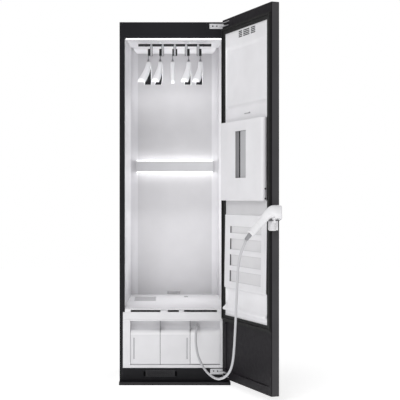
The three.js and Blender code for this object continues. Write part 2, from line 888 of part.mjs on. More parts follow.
const outletCuts = Array.from({ length: outletSlots }, (_, i) => {
  const x = outletLeft + ((outletRight - outletLeft) * (i + 1)) / (outletSlots + 1);
  return box(x - outletSlot / 2, x + outletSlot / 2, chamberBack - 2 * overrun,
    chamberBack + linerThick + overrun, outletLow + outletSlot, outletHigh - outletSlot);
});
add('steam_outlet_grille', cut(
  box(outletLeft + fitGap, outletRight - fitGap, chamberBack - overrun, chamberBack + linerThick,
    outletLow + fitGap, outletHigh - fitGap),
  ...outletCuts,
), grey);

// Chamber ceiling with a cove along its back and two slots for the hanger bar's stems
const ceilingSlots = [-1, 1].map((side) => {
  const reach = slotTravel + stemRadius + slotClear;
  return box(side * stemSpacing - reach, side * stemSpacing + reach, barY - stemRadius - slotClear,
    barY + stemRadius + slotClear, 0, cabinetHeight);
});
const cove = prism('x', [
  [chamberBack - fitGap, chamberCeiling + fitGap + sheet],
  [chamberBack - ceilingCove, chamberCeiling + fitGap + sheet],
  ...arc(chamberBack - ceilingCove, chamberCeiling - ceilingCove, ceilingCove - fitGap, 90, 0),
], -backWallHalf, backWallHalf);
add('chamber_ceiling', cut(join(
  box(-panHalf, panHalf, postDepth + fitGap, chamberBack + linerThick, chamberCeiling + fitGap,
    chamberCeiling + linerThick),
  cove,
), ...ceilingSlots), white);

add('ceiling_light', box(-chamberFront + fitGap, chamberFront - fitGap, sheet, topLightDepth,
  headerLow - topLightHeight, headerLow - fitGap), lamp);

// Light bar on the back wall: a cover in front of a slightly taller diffuser
const coverFront = chamberBack - barLightProud;
add('light_bar_cover', prism('x', [
  [coverFront + barLightCover, barLightLow],
  ...arc(coverFront + barLightRound, barLightLow + barLightRound, barLightRound, 270, 180),
  ...arc(coverFront + barLightRound, barLightHigh - barLightRound, barLightRound, 180, 90),
  [coverFront + barLightCover, barLightHigh],
], -barLightHalf, barLightHalf), white);
add('light_bar_diffuser', box(-barLightHalf + diffuserInset, barLightHalf - diffuserInset,
  coverFront + barLightCover + fitGap, chamberBack - fitGap, barLightLow - diffuserInset,
  barLightHigh + diffuserInset), lamp);

// Hanger bar: a round bar on two stems that hang from a carriage sliding on the ceiling
const ceilingTop = chamberCeiling + linerThick;
add('hanger_bar', join(
  rod('x', barY, barZ, barRadius, -barHalf, barHalf),
  ...[-1, 1].map((side) => rod('z', side * stemSpacing, barY, stemRadius, barZ,
    ceilingTop + carriageThick, 12)),
  box(-stemSpacing - carriageEnd, stemSpacing + carriageEnd, barY - carriageWidth / 2,
    barY + carriageWidth / 2, ceilingTop + fitGap, ceilingTop + fitGap + carriageThick),
), dark);

const driveLow = ceilingTop + fitGap;
add('hanger_motor', join(
  prism('z', roundedBox(driveLeft, driveRight, driveFront, driveFront + driveDeep, driveRound), driveLow,
    driveLow + driveHeight),
  rod('z', (driveLeft + driveRight) / 2, barY + carriageWidth / 2 + driveShaft + slotClear, driveShaft,
    driveLow + carriageThick, driveLow + driveHeight),
  box(-driveShaft, driveShaft, barY + carriageWidth / 2 + driveShaft, driveFront + overrun,
    driveLow + carriageThick + driveShaft, driveLow + driveHeight),
), zinc);

// Clips: a strap over the bar and a block that takes the hanger's neck
function clip(k) {
  const x = clipX[k];
  const side = clipSide[k];
  const inner = barRadius + fitGap;
  const outer = inner + strapThick;
  const strap = cut(
    prism('x', [
      ...arc(barY, barZ, outer, 0, 180, 2 * roundSteps),
      [barY - outer, clipBottom],
      [barY + outer, clipBottom],
    ], x - strapWidth / 2, x + strapWidth / 2),
    rod('x', barY, barZ, inner, x - strapWidth, x + strapWidth),
  );
  const near = x + side * (strapWidth / 2 - sheet);
  const far = x + side * (strapWidth / 2 + clipBlockWidth);
  const block = box(Math.min(near, far), Math.max(near, far), barY - clipBlockHalf,
    barY + clipBlockHalf, clipBottom, clipBlockTop);
  const seat = rod('z', x + side * clipOffset, barY, neckRadius + fitGap, clipBottom - overrun,
    clipBottom + neckSeat, 12);
  return cut(join(strap, block), seat);
}

// Hangers: shoulder-shaped shells, hollow below, widening to their tips
function shoulder(k, inset) {
  const neckX = clipX[k] + clipSide[k] * clipOffset;
  const widthNeck = hangerNecks[k];
  const widthTip = hangerTips[k];
  const stations = [
    ...hangerStationShares.map((share, i) => [-share, hangerRoundShares[i]]),
    [0, 1],
    ...hangerStationShares.map((share, i) => [share, hangerRoundShares[i]]).reverse(),
  ];
  const rings = stations.map(([share, round]) => {
    const away = Math.abs(share);
    const x = neckX + hangerBend[k] * away ** 2 - hangerTwist[k] * share;
    const y = barY + share * (hangerHalf - inset);
    const top = hangerTop - hangerDrop * away ** hangerSlopeShare + hangerTilt * share - inset;
    const half = ((widthNeck + (widthTip - widthNeck) * away) * round) / 2 - inset;
    const height = (hangerHeightNeck + (hangerHeightTip - hangerHeightNeck) * away) * round;
    const square = (share) => Math.sign(share) * Math.abs(share) ** hangerSquareShare;
    return arc(0, 0, 1, 0, 180, 8).map(([a, b]) => new THREE.Vector3(
      x + half * square(a),
      y,
      top - (height + (inset ? overrun : 0)) * (1 - square(b)),
    ));
  });
  return loft(rings);
}
clipX.forEach((x, k) => {
  add(`hanger_clip_${k + 1}`, clip(k), steel);
});
clipX.forEach((x, k) => {
  const neck = rod('z', x + clipSide[k] * clipOffset, barY, neckRadius,
    hangerTop - hangerHeightNeck / 2, clipBottom + neckSeat - fitGap, 12);
  add(`hanger_${k + 1}`, join(cut(shoulder(k, 0), shoulder(k, hangerWall)), neck), white);
});

// Machine room: compressor, heat exchanger, steam generator and fan, all standing on the base pan
const standing = panFloor + fitGap;
add('compressor', join(
  turned(compressorX, compressorY, [
    [0, standing + compressorFoot],
    [compressorRadius - compressorFoot, standing + compressorFoot],
    [compressorRadius, standing + 2 * compressorFoot],
    [compressorRadius, standing + compressorHeight - 2 * compressorFoot],
    [compressorRadius - compressorFoot, standing + compressorHeight - compressorFoot / 2],
    [compressorFoot, standing + compressorHeight],
    [0, standing + compressorHeight],
  ]),
  box(compressorX - compressorRadius, compressorX + compressorRadius, compressorY - compressorRadius,
    compressorY + compressorRadius, standing + compressorFoot - compressorPlate,
    standing + compressorFoot + fitGap),
  ...[[-1, -1], [-1, 1], [1, -1], [1, 1]].map(([a, b]) => rod('z',
    compressorX + a * (compressorRadius - compressorFoot),
    compressorY + b * (compressorRadius - compressorFoot),
    compressorFoot / 2, standing, standing + compressorFoot, 10)),
), black);

const finPitch = (exchangerRight - exchangerLeft - exchangerFin) / (exchangerFins - 1);
const fins = Array.from({ length: exchangerFins }, (_, i) => box(
  exchangerLeft + i * finPitch, exchangerLeft + i * finPitch + exchangerFin,
  exchangerFront, exchangerBack, standing, standing + exchangerHeight,
));
const tubes = [1, 3].flatMap((a) => [1, 3].map((b) => rod('x',
  exchangerFront + ((exchangerBack - exchangerFront) * a) / 4,
  standing + (exchangerHeight * b) / 4, exchangerTube,
  exchangerLeft - exchangerTube, exchangerRight + exchangerTube, 8)));
add('heat_exchanger', join(tubes[0], ...tubes.slice(1), ...fins), copper);

add('steam_generator', join(
  prism('z', roundedBox(generatorLeft, generatorRight, generatorFront, generatorFront + generatorDeep,
    generatorRound), standing, standing + generatorHeight),
  rod('z', (generatorLeft + generatorRight) / 2, generatorFront + generatorDeep / 2, generatorNozzle,
    standing, standing + generatorHeight + generatorNozzle, 12),
), steel);

// Fan: a scroll housing with an inlet in front, and a bladed wheel on the boss of its back wall
const scroll = (extra) => Array.from({ length: 24 }, (_, i) => {
  const turn = i / 24;
  const radius = fanRadius + fanClear + extra + fanGrowth * turn;
  return [fanX + radius * Math.cos(2 * Math.PI * turn), fanZ + radius * Math.sin(2 * Math.PI * turn)];
});
const fanShell = cut(
  join(
    prism('y', scroll(fanWall), fanFront, fanBack),
    box(fanX - fanFootHalf, fanX + fanFootHalf, fanFront, fanBack, standing, fanZ - fanRadius),
  ),
  prism('y', scroll(0), fanFront + fanWall, fanBack - fanWall),
  rod('y', fanX, fanZ, fanInlet, fanFront - overrun, fanFront + fanWall + overrun),
);
add('fan_housing', join(
  fanShell,
  rod('y', fanX, fanZ, fanBoss, fanFront + 2 * fanWall + fanBladeChord, fanBack - fanWall + fitGap, 12),
), dark);

const wheelFront = fanFront + fanWall + fanClear;
const wheelBack = fanBack - fanWall - fanClear;
const blades = Array.from({ length: fanBlades }, (_, i) => {
  const angle = (2 * Math.PI * i) / fanBlades;
  const blade = prism('y', [
    [fanRadius - fanBladeChord, 0],
    [fanRadius - fanBladeChord / 2, fanBladeThick],
    [fanRadius - fanBladeThick, 3 * fanBladeThick],
    [fanRadius - fanBladeThick / 2, 2 * fanBladeThick],
    [fanRadius - fanBladeChord / 2, -fanBladeThick / 2],
    [fanRadius - fanBladeChord, -fanBladeThick],
  ], wheelFront, wheelBack);
  return blade.rotate([0, (angle * 180) / Math.PI, 0]).translate([fanX, 0, fanZ]);
});
const wheelRing = cut(
  rod('y', fanX, fanZ, fanRadius, wheelFront, wheelFront + fanDisc, 28),
  rod('y', fanX, fanZ, fanRadius - fanBladeChord / 2, wheelFront - overrun, wheelFront + overrun * fanDisc,
    28),
);
add('fan_wheel', cut(
  join(
    rod('y', fanX, fanZ, fanRadius, wheelBack - fanDisc, wheelBack, 28),
    rod('y', fanX, fanZ, fanHub, wheelFront + fanBladeChord / 2, wheelBack, 16),
    wheelRing,
    ...blades,
  ),
  rod('y', fanX, fanZ, fanBoss + fitGap, fanFront + fanWall + fanBladeChord, wheelBack + overrun, 12),
), dark);

// Hinge brackets: a plate on the cabinet, an arm forward and the pin that the door turns on
function bracket(left, right, low, high, armLow) {
  const plate = prism('y', roundedBox(left, right, low, high, frontRound), -hingePlate - fitGap, -fitGap);
  const arm = prism('z', [
    [armX - armRoot, -hingePlate],
    [armX - armRoot / 2, hingeY / 2],
    ...arc(hingeX, hingeY, hingeEye, eyeStart, eyeEnd),
    [armX + armRoot, -hingePlate],
  ], armLow, armLow + armThick);
  const pin = rod('z', hingeX, hingeY, hingePin, armLow - pinReach, armLow + armThick + pinReach, 16);
  return join(plate, arm, pin);
}
add('hinge_bracket_top', bracket(topPlateLeft, topPlateRight, topPlateLow, topPlateHigh, topArm), steel);
add('hinge_bracket_bottom', bracket(lowPlateLeft, lowPlateRight, lowPlateLow, lowPlateHigh, lowArm), steel);

// Everything on the door sits in this group, in closed-door coordinates
const doorTurn = new THREE.Group();
doorTurn.position.set(hingeX, hingeY, 0);
doorTurn.rotation.z = THREE.MathUtils.degToRad(openAngle);
const door = new THREE.Group();
door.position.set(-hingeX, -hingeY, 0);
doorTurn.add(door);
part.add(doorTurn);
const out = (distance) => doorInner + distance;

// Door frame: a ring round the liner, a dished panel below it, and notches for the hinge arms
const frameBack = doorOuter + glassThick + fitGap;
const frameSlab = prism('z', [
  [doorHalf, frameBack],
  [doorHalf, doorInner - doorRound],
  [doorHalf - doorRound, doorInner],
  [-doorHalf + doorRound, doorInner],
  [-doorHalf, doorInner - doorRound],
  [-doorHalf, frameBack],
], doorLow, doorHigh);
const linerOpening = box(linerFree, linerHinge, doorOuter, overrun, linerLow, linerHigh);
const dish = prism('y', roundedBox(insetFree, insetHinge, insetLow, insetHigh, 2 * lipRound),
  doorInner - insetDepth, overrun);
const hingeBlocks = [topArm, lowArm].map((armLow) => box(hingeX - notchDepth - frameWall, doorHalf,
  doorOuter, overrun, armLow - pinReach - frameWall, armLow + armThick + pinReach + frameWall));
const frameHollow = cut(
  box(-doorHalf + frameWall, doorHalf - frameWall, doorOuter, doorInner - frameFloor,
    doorLow + frameWall, doorHigh - frameWall),
  box(linerFree - frameWall, linerHinge + frameWall, doorOuter - overrun, overrun,
    linerLow - frameWall, linerHigh + frameWall),
  box(insetFree - frameWall, insetHinge + frameWall, doorInner - insetDepth - frameFloor, overrun,
    insetLow - frameWall, insetHigh + frameWall),
  ...hingeBlocks,
);
function notch(armLow) {
  return box(hingeX - notchDepth, doorHalf + overrun, doorOuter, overrun, armLow - notchPlay,
    armLow + armThick + notchPlay);
}
function pinBore(armLow) {
  return rod('z', hingeX, hingeY, hingePin + fitGap, armLow - pinReach - fitGap,
    armLow + armThick + pinReach + fitGap, 16);
}
add('door_frame', cut(frameSlab, linerOpening, dish, frameHollow, notch(topArm), pinBore(topArm),
  notch(lowArm), pinBore(lowArm)), black, door);

add('door_front_panel', prism('z', [
  [doorHalf, doorOuter + glassThick],
  [doorHalf, doorOuter + sheet],
  [doorHalf - sheet, doorOuter],
  [-doorHalf + sheet, doorOuter],
  [-doorHalf, doorOuter + sheet],
  [-doorHalf, doorOuter + glassThick],
], doorLow, doorHigh), mirror, door);

add('door_insulation', box(linerFree + fitGap, linerHinge - fitGap, frameBack, frameBack + insulationThick,
  linerLow + fitGap, linerHigh - fitGap), foam, door);

// Door liner: one moulded skin, its profile along the height, with pockets, vents and a press board
const linerFront = [
  [linerHigh - fitGap, flushOut],
  [creaseHigh, flushOut],
  [creaseHigh - creaseFall, insetOut],
  [creaseLow, insetOut],
  [creaseLow - creaseFall, flushOut],
  [bandHigh, flushOut],
  [bandHigh - sheet, bandOut],
  [bandLow, bandOut],
  [bandLow - sheet, panelTopOut],
  [panelLow, panelLowOut],
  [panelLow - sheet, bandOut],
  [hollowZ, hollowOut],
  [dripHigh + dripRound, panelTopOut],
  [dripHigh, dripOut - dripRound],
  [dripHigh - dripRound, dripOut],
  [dripLow, dripOut],
  [dripLow - sheet, flushOut],
  [linerLow + fitGap, flushOut],
];
const linerProfile = [
  ...linerFront.map(([z, reach]) => [out(reach), z]),
  ...linerFront.slice().reverse().map(([z, reach]) => [out(Math.min(reach, panelTopOut) - linerSkin), z]),
];
const pocketBack = out(-pocketDepth);
const pocketTubs = pocketLows.map((low, i) => box(pocketFree - pocketWall, pocketHinge + pocketWall,
  pocketBack - pocketWall, out(-fitGap), low - pocketWall, pocketHighs[i] + pocketWall));
const pocketCuts = pocketLows.map((low, i) => box(pocketFree, pocketHinge, pocketBack,
  out(dripOut), low, pocketHighs[i]));
const ventCuts = ventLefts.flatMap((left, i) => Array.from({ length: ventRows }, (_, row) => box(
  left, ventRights[i], doorOuter, overrun, ventLow + row * ventPitch, ventLow + row * ventPitch + ventSlot,
)));
const pressBoard = box(pressFree + boardInset, pressHinge - boardInset, out(-sheet), out(boardOut),
  pressLow + boardInset, pressHigh - boardInset);
add('door_liner', cut(
  join(prism('x', linerProfile, linerFree + fitGap, linerHinge - fitGap), ...pocketTubs, pressBoard),
  ...pocketCuts,
  ...ventCuts,
), white, door);

// Gasket: a flat flange under a magnetic bulb that meets the cabinet's front
function ring(reach, width, low, high, from, to) {
  return cut(
    prism('y', roundedBox(-reach, reach, low, high, frontRound), from, to),
    prism('y', roundedBox(-reach + width, reach - width, low + width, high - width, frontRound),
      from - overrun, to + overrun),
  );
}
const gasketSpan = gasketOut - linerHinge - fitGap;
const bulbFace = -fitGap;
add('door_gasket', join(
  cut(
    prism('y', roundedBox(-gasketOut, gasketOut, gasketLow, gasketHigh, frontRound), out(fitGap),
      out(gasketBase)),
    box(-gasketOut + gasketSpan, gasketOut - gasketSpan, out(-overrun), overrun, linerLow,
      linerHigh),
  ),
  ring(bulbOut, bulbWidth, bulbLow, bulbHigh, out(gasketBase - fitGap), bulbFace - bulbRound),
  ring(bulbOut - bulbRound / 2, bulbWidth - bulbRound, bulbLow + bulbRound / 2, bulbHigh - bulbRound / 2,
    bulbFace - bulbRound - fitGap, bulbFace),
), rubber, door);

// Trouser press cover: a shell hinged on the liner, with a see-through grip and a latch notch
const pressBack = out(gasketBase + fitGap);
const pressFace = out(pressOut);
const pressOuter = prism('z', [
  [pressHinge, pressBack],
  [pressHinge, pressFace - pressEdge],
  [pressHinge - pressEdge, pressFace],
  [pressFree + pressBevel, pressFace],
  [pressFree, pressFace - pressBevel],
  [pressFree, pressBack],
], pressLow, pressHigh);
const pressInner = prism('z', [
  [pressHinge - pressWall, pressBack - overrun],
  [pressHinge - pressWall, pressFace - pressWall],
  [pressFree + pressBevel + pressWall, pressFace - pressWall],
  [pressFree + pressWall, pressFace - pressBevel - pressWall],
  [pressFree + pressWall, pressBack - overrun],
], pressLow + pressWall, pressHigh - pressWall);
const gripCut = prism('y', roundedBox(gripFree, gripHinge, gripLow, gripHigh, gripRound),
  pressBack - overrun, pressFace + overrun);
const latchFront = pressFace - pressBevel - sheet;
const latchNotch = box(pressFree - overrun, pressFree + latchWidth, latchFront - latchDeep,
  pressFace, latchLow - fitGap, latchHigh + latchTravel + fitGap);
add('press_cover', cut(pressOuter, pressInner, gripCut, latchNotch), white, door);
add('press_latch', box(pressFree - latchOut, pressFree + latchWidth - fitGap,
  latchFront - latchDeep + fitGap, latchFront, latchLow, latchHigh), dark, door);

// Steamer holder: a cradle on the door's free edge with a pocket for the steamer's peg
const holderInner = -doorHalf - fitGap;
const pegFit = (gap) => box(steamerX - pegWidth / 2 - gap, steamerX + pegWidth / 2 + gap,
  pegY - pegDeep / 2 - gap, pegY + pegDeep / 2 + gap, pegLow - gap, headZ);
add('steamer_holder', cut(
  prism('z', [
    [holderInner, holderFaceOut],
    [holderInner, doorInner - sheet],
    [-holderClear, doorInner - sheet],
    [-holderClear, holderIn],
    ...arc(-holderReach + holderRound, holderIn - holderRound, holderRound, 90, 180),
    ...arc(-holderReach + holderRound, holderNeckIn + holderRound, holderRound, 180, 270),
    [holderInner - holderFlange, holderNeckIn],
    [holderInner - holderFlange, holderFaceOut],
  ], holderLow, holderHigh),
  pegFit(fitGap),
), white, door);

// Handheld steamer: head and handle in one loft along a bent line, with a peg, a boot and a button bore
const steamerLine = [
  [headFront, headZ, headHalfWidth, headHalfHeight],
  [headFront / 2, headZ, headHalfWidth, headHalfHeight],
  [shoulderY, shoulderZ, shoulderHalf, shoulderHigh],
  [neckY, neckZ, neckHalf, neckHigh],
  [handleY, handleZ, handleRadius, handleRadius],
  [(handleY + handleEndY) / 2, (handleZ + handleEndZ) / 2, handleRadius, handleRadius],
  [handleEndY, handleEndZ, handleRadius, handleRadius],
];
const steamerCurve = new THREE.CatmullRomCurve3(
  steamerLine.map(([y, z]) => new THREE.Vector3(steamerX, y, z)), false, 'centripetal',
);
const steamerSpans = steamerLine.length - 1;
const steamerRings = Array.from({ length: 4 * steamerSpans + 1 }, (_, i) => {
  const t = i / 4;
  const k = Math.min(Math.floor(t), steamerSpans - 1);
  const mix = t - k;
  const point = steamerCurve.getPoint(t / steamerSpans);
  const along = steamerCurve.getTangent(t / steamerSpans);
  const across = new THREE.Vector3(0, -along.z, along.y);
  const size = (n) => steamerLine[k][n] * (1 - mix) + steamerLine[k + 1][n] * mix;
  return circle(0, 0, 1, 16).map(([a, b]) => new THREE.Vector3(
    point.x + size(2) * a,
    point.y + size(3) * b * across.y,
    point.z + size(3) * b * across.z,
  ));
});
const handleRun = new THREE.Vector3(0, handleEndY - handleY, handleEndZ - handleZ).normalize();
const handleUp = new THREE.Vector3(0, -handleRun.z, handleRun.y);
function round(start, direction, length, wide, thin, steps = 16) {
  const side = new THREE.Vector3(1, 0, 0);
  const other = new THREE.Vector3().crossVectors(direction, side);
  const ringAt = (distance, radius) => circle(0, 0, radius, steps).map(([a, b]) => start.clone()
    .addScaledVector(direction, distance).addScaledVector(side, a).addScaledVector(other, b));
  return loft([ringAt(0, wide), ringAt(length, thin)]);
}
const handleEnd = new THREE.Vector3(steamerX, handleEndY, handleEndZ);
const bootTip = new THREE.Vector3(steamerX, bootTipY, bootTipZ);
const bootRun = bootTip.clone().sub(handleEnd).normalize();
const bootFoot = handleEnd.clone().addScaledVector(bootRun, -handleRadius / 2);
const buttonFoot = new THREE.Vector3(steamerX, handleY, handleZ).addScaledVector(handleRun, buttonAlong)
  .addScaledVector(handleUp, handleRadius - buttonDepth);
const boreFoot = buttonFoot.clone().addScaledVector(handleUp, -buttonTravel - fitGap);
add('steamer_body', cut(
  join(
    cut(loft(steamerRings), box(-holderReach - overrun, -holderClear + overrun, holderFaceOut - overrun,
      holderIn + fitGap, holderLow, holderHigh + fitGap)),
    pegFit(0),
    round(bootFoot, bootRun, bootTip.distanceTo(bootFoot), bootWide, bootThin),
  ),
  round(boreFoot, handleUp, 2 * buttonDepth + buttonProud + buttonTravel, buttonRadius + fitGap,
    buttonRadius + fitGap),
), white, door);
add('steamer_button', round(buttonFoot, handleUp, buttonDepth + buttonProud, buttonRadius,
  buttonRadius - fitGap), grey, door);

// Steam plate on the head's face
const plateHole4 = Array.from({ length: plateHoles }, (_, i) => {
  const z = headZ + headHalfHeight * ((2 * (i + 1)) / (plateHoles + 1) - 1);
  return [-1, 1].map((side) => rod('y', steamerX + (side * headHalfWidth) / 2, z, plateHole,
    plateFace - overrun, headFront, 8));
}).flat();
add('steam_plate', cut(
  prism('y', roundedBox(steamerX - headHalfWidth, steamerX + headHalfWidth, headZ - headHalfHeight,
    headZ + headHalfHeight, plateRound), plateFace, headFront - fitGap),
  box(steamerX - plateGroove, steamerX + plateGroove, plateFace - overrun, plateFace + plateGroove,
    headZ - headHalfHeight / 2, headZ + headHalfHeight / 2),
  ...plateHole4,
), grey, door);

// Steam hose: a tube along its route, in two stretches that meet beside the door
function hose(route) {
  const curve = new THREE.CatmullRomCurve3(route.map((point) => new THREE.Vector3(...point)), false,
    'centripetal');
  const geometry = new THREE.ExtrudeGeometry(
    new THREE.Shape(circle(0, 0, hoseRadius, hoseSides).map(([a, b]) => new THREE.Vector2(a, b))),
    { steps: Math.round(curve.getLength() / hoseStep), extrudePath: curve },
  );
  return toSolid(geometry);
}
add('steam_hose', hose(hoseLowRoute), grey);
add('steam_hose_upper', hose(hoseHighRoute), grey);

export default part;
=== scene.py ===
"""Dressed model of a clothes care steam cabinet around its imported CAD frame."""
import json
import math

import bmesh
import bpy
from mathutils import Matrix, Vector


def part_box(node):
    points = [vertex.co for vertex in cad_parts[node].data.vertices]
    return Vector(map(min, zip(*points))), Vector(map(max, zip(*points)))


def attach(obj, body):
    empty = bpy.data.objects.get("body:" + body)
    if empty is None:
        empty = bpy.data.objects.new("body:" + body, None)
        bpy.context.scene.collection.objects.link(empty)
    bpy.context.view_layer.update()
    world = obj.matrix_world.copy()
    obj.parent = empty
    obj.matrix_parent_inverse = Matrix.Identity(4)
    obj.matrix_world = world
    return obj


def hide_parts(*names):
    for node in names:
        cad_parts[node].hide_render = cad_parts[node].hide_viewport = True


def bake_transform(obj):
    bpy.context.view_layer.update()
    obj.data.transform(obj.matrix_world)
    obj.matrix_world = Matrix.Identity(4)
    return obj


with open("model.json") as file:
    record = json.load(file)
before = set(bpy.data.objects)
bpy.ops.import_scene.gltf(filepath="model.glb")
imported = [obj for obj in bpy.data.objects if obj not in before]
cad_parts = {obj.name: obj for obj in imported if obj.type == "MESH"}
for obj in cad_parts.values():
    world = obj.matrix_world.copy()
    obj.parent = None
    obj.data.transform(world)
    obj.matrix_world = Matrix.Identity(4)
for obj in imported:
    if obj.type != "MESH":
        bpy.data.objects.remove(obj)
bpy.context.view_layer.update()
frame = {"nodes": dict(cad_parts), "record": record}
scene = bpy.context.scene

# Camera, matched to the photograph's frame of 400 by 400
CAMERA_PLACE = (0.0, -5.7, 1.0048)
CAMERA_LENS = 94.545
CAMERA_SHIFT = (0.063, -0.0045)

# The door turns about this line, and stands open by this angle at rest
HINGE = Vector((0.289, -0.042, 0.0))
OPEN_ANGLE = math.radians(111)


def place_camera():
    data = bpy.data.cameras.new("view_camera")
    data.lens = CAMERA_LENS
    data.sensor_width = 36.0
    data.shift_x, data.shift_y = CAMERA_SHIFT
    camera = bpy.data.objects.new("view_camera", data)
    camera.location = CAMERA_PLACE
    camera.rotation_euler = (math.radians(90), 0, 0)
    scene.collection.objects.link(camera)
    scene.camera = camera


place_camera()


# Node helpers for the finishes: a pattern's middle range, between these shares, carries the change
PATTERN_LOW_SHARE = 0.3
PATTERN_HIGH_SHARE = 0.7


class Finish:
    """A material under construction: its tree, its shader and short ways to add nodes."""

    def __init__(self, name):
        self.material = bpy.data.materials.new(name)
        self.material.use_nodes = True
        self.tree = self.material.node_tree
        self.shader = self.tree.nodes["Principled BSDF"]
        self.place = self.add("ShaderNodeTexCoord").outputs["Object"]

    def add(self, kind, **values):
        node = self.tree.nodes.new(kind)
        for key, value in values.items():
            setattr(node, key, value)
        return node

    def link(self, source, target):
        self.tree.links.new(source, target)

    def stretch(self, scale):
        mapping = self.add("ShaderNodeMapping")
        mapping.inputs["Scale"].default_value = scale
        self.link(self.place, mapping.inputs["Vector"])
        return mapping.outputs["Vector"]

    def noise(self, size, detail=3.0, place=None):
        """Soft mottling whose blotches are about size metres wide."""
        node = self.add("ShaderNodeTexNoise")
        node.inputs["Scale"].default_value = 1.0 / size
        node.inputs["Detail"].default_value = detail
        self.link(place or self.place, node.inputs["Vector"])
        return node.outputs["Fac"]

    def cells(self, size, place=None):
        """A grain of small cells about size metres wide."""
        node = self.add("ShaderNodeTexVoronoi")
        node.inputs["Scale"].default_value = 1.0 / size
        self.link(place or self.place, node.inputs["Vector"])
        return node.outputs["Distance"]

    def spread(self, source, low, high):
        """The source's middle range mapped onto low to high."""
        node = self.add("ShaderNodeMapRange")
        node.inputs["From Min"].default_value = PATTERN_LOW_SHARE
        node.inputs["From Max"].default_value = PATTERN_HIGH_SHARE
        node.inputs["To Min"].default_value = low
        node.inputs["To Max"].default_value = high
        self.link(source, node.inputs["Value"])
        return node.outputs["Result"]

    def tint(self, source, dark, light):
        """A colour between dark and light, by the source."""
        ramp = self.add("ShaderNodeValToRGB")
        start, end = ramp.color_ramp.elements
        start.position, end.position = PATTERN_LOW_SHARE, PATTERN_HIGH_SHARE
        start.color, end.color = (*dark, 1), (*light, 1)
        self.link(source, ramp.inputs["Fac"])
        self.link(ramp.outputs["Color"], self.shader.inputs["Base Color"])

    def rough(self, source, low, high):
        self.link(self.spread(source, low, high), self.shader.inputs["Roughness"])

    def bump(self, source, depth, strength=0.5):
        node = self.add("ShaderNodeBump")
        node.inputs["Distance"].default_value = depth
        node.inputs["Strength"].default_value = strength
        self.link(source, node.inputs["Height"])
        self.link(node.outputs["Normal"], self.shader.inputs["Normal"])

    def set(self, **values):
        for key, value in values.items():
            self.shader.inputs[key.replace("_", " ")].default_value = value


def shade(color, factor):
    return tuple(min(1.0, channel * factor) for channel in color)


def cool(level, blue=0.01):
    """A pale grey of this level, with a hint of violet."""
    return (level, level - 0.005, level + blue)


def moulded(name, color, roughness, grain=0.0006, depth=0.00003, coat=0.0, gloss=0.35):
    """Injection-moulded plastic: a faint mottle and a very fine grain."""
    finish = Finish(name)
    mottle = finish.noise(0.12)
    finish.tint(mottle, shade(color, 0.97), shade(color, 1.03))
    finish.rough(finish.noise(0.02), roughness * 0.9, roughness * 1.1)
    finish.bump(finish.cells(grain), depth, 0.35)
    finish.set(Coat_Weight=coat, Coat_Roughness=0.12, Specular_IOR_Level=gloss)
    return finish.material


def powder_coat(name, color, roughness):
    """Powder-coated steel: an orange-peel surface with a satin gloss."""
    finish = Finish(name)
    finish.tint(finish.noise(0.2), shade(color, 0.9), shade(color, 1.1))
    finish.rough(finish.noise(0.03), roughness * 0.85, roughness * 1.15)
    finish.bump(finish.noise(0.0015, 2.0), 0.00004, 0.5)
    finish.set(Specular_IOR_Level=0.2)
    return finish.material


def drawn_metal(name, color, roughness, scale=(1, 1, 60), metallic=1.0):
    """Bare metal with fine lines along its rolling direction."""
    finish = Finish(name)
    lines = finish.noise(0.004, 4.0, finish.stretch(scale))
    finish.tint(lines, shade(color, 0.88), shade(color, 1.08))
    finish.rough(lines, roughness * 0.8, roughness * 1.2)
    finish.bump(lines, 0.00002, 0.4)
    finish.set(Metallic=metallic)
    return finish.material


def galvanised(name, color):
    """Zinc-coated sheet with its crystal pattern."""
    finish = Finish(name)
    spangle = finish.cells(0.012)
    finish.tint(spangle, shade(color, 0.8), shade(color, 1.15))
    finish.rough(spangle, 0.35, 0.55)
    finish.set(Metallic=0.85)
    return finish.material


def lit(name, color, strength):
    """A lamp's diffuser that glows evenly, with the faint frosting of opal plastic."""
    finish = Finish(name)
    finish.tint(finish.noise(0.01), shade(color, 0.96), color)
    finish.bump(finish.noise(0.0008), 0.00002, 0.3)
    finish.set(Roughness=0.5, Emission_Color=(*color, 1), Emission_Strength=strength)
    return finish.material


def felt(name, color):
    """Needled insulation felt."""
    finish = Finish(name)
    fibres = finish.noise(0.0015, 6.0)
    finish.tint(fibres, shade(color, 0.75), shade(color, 1.1))
    finish.bump(fibres, 0.0004, 0.8)
    finish.set(Roughness=0.95, Sheen_Weight=0.3)
    return finish.material


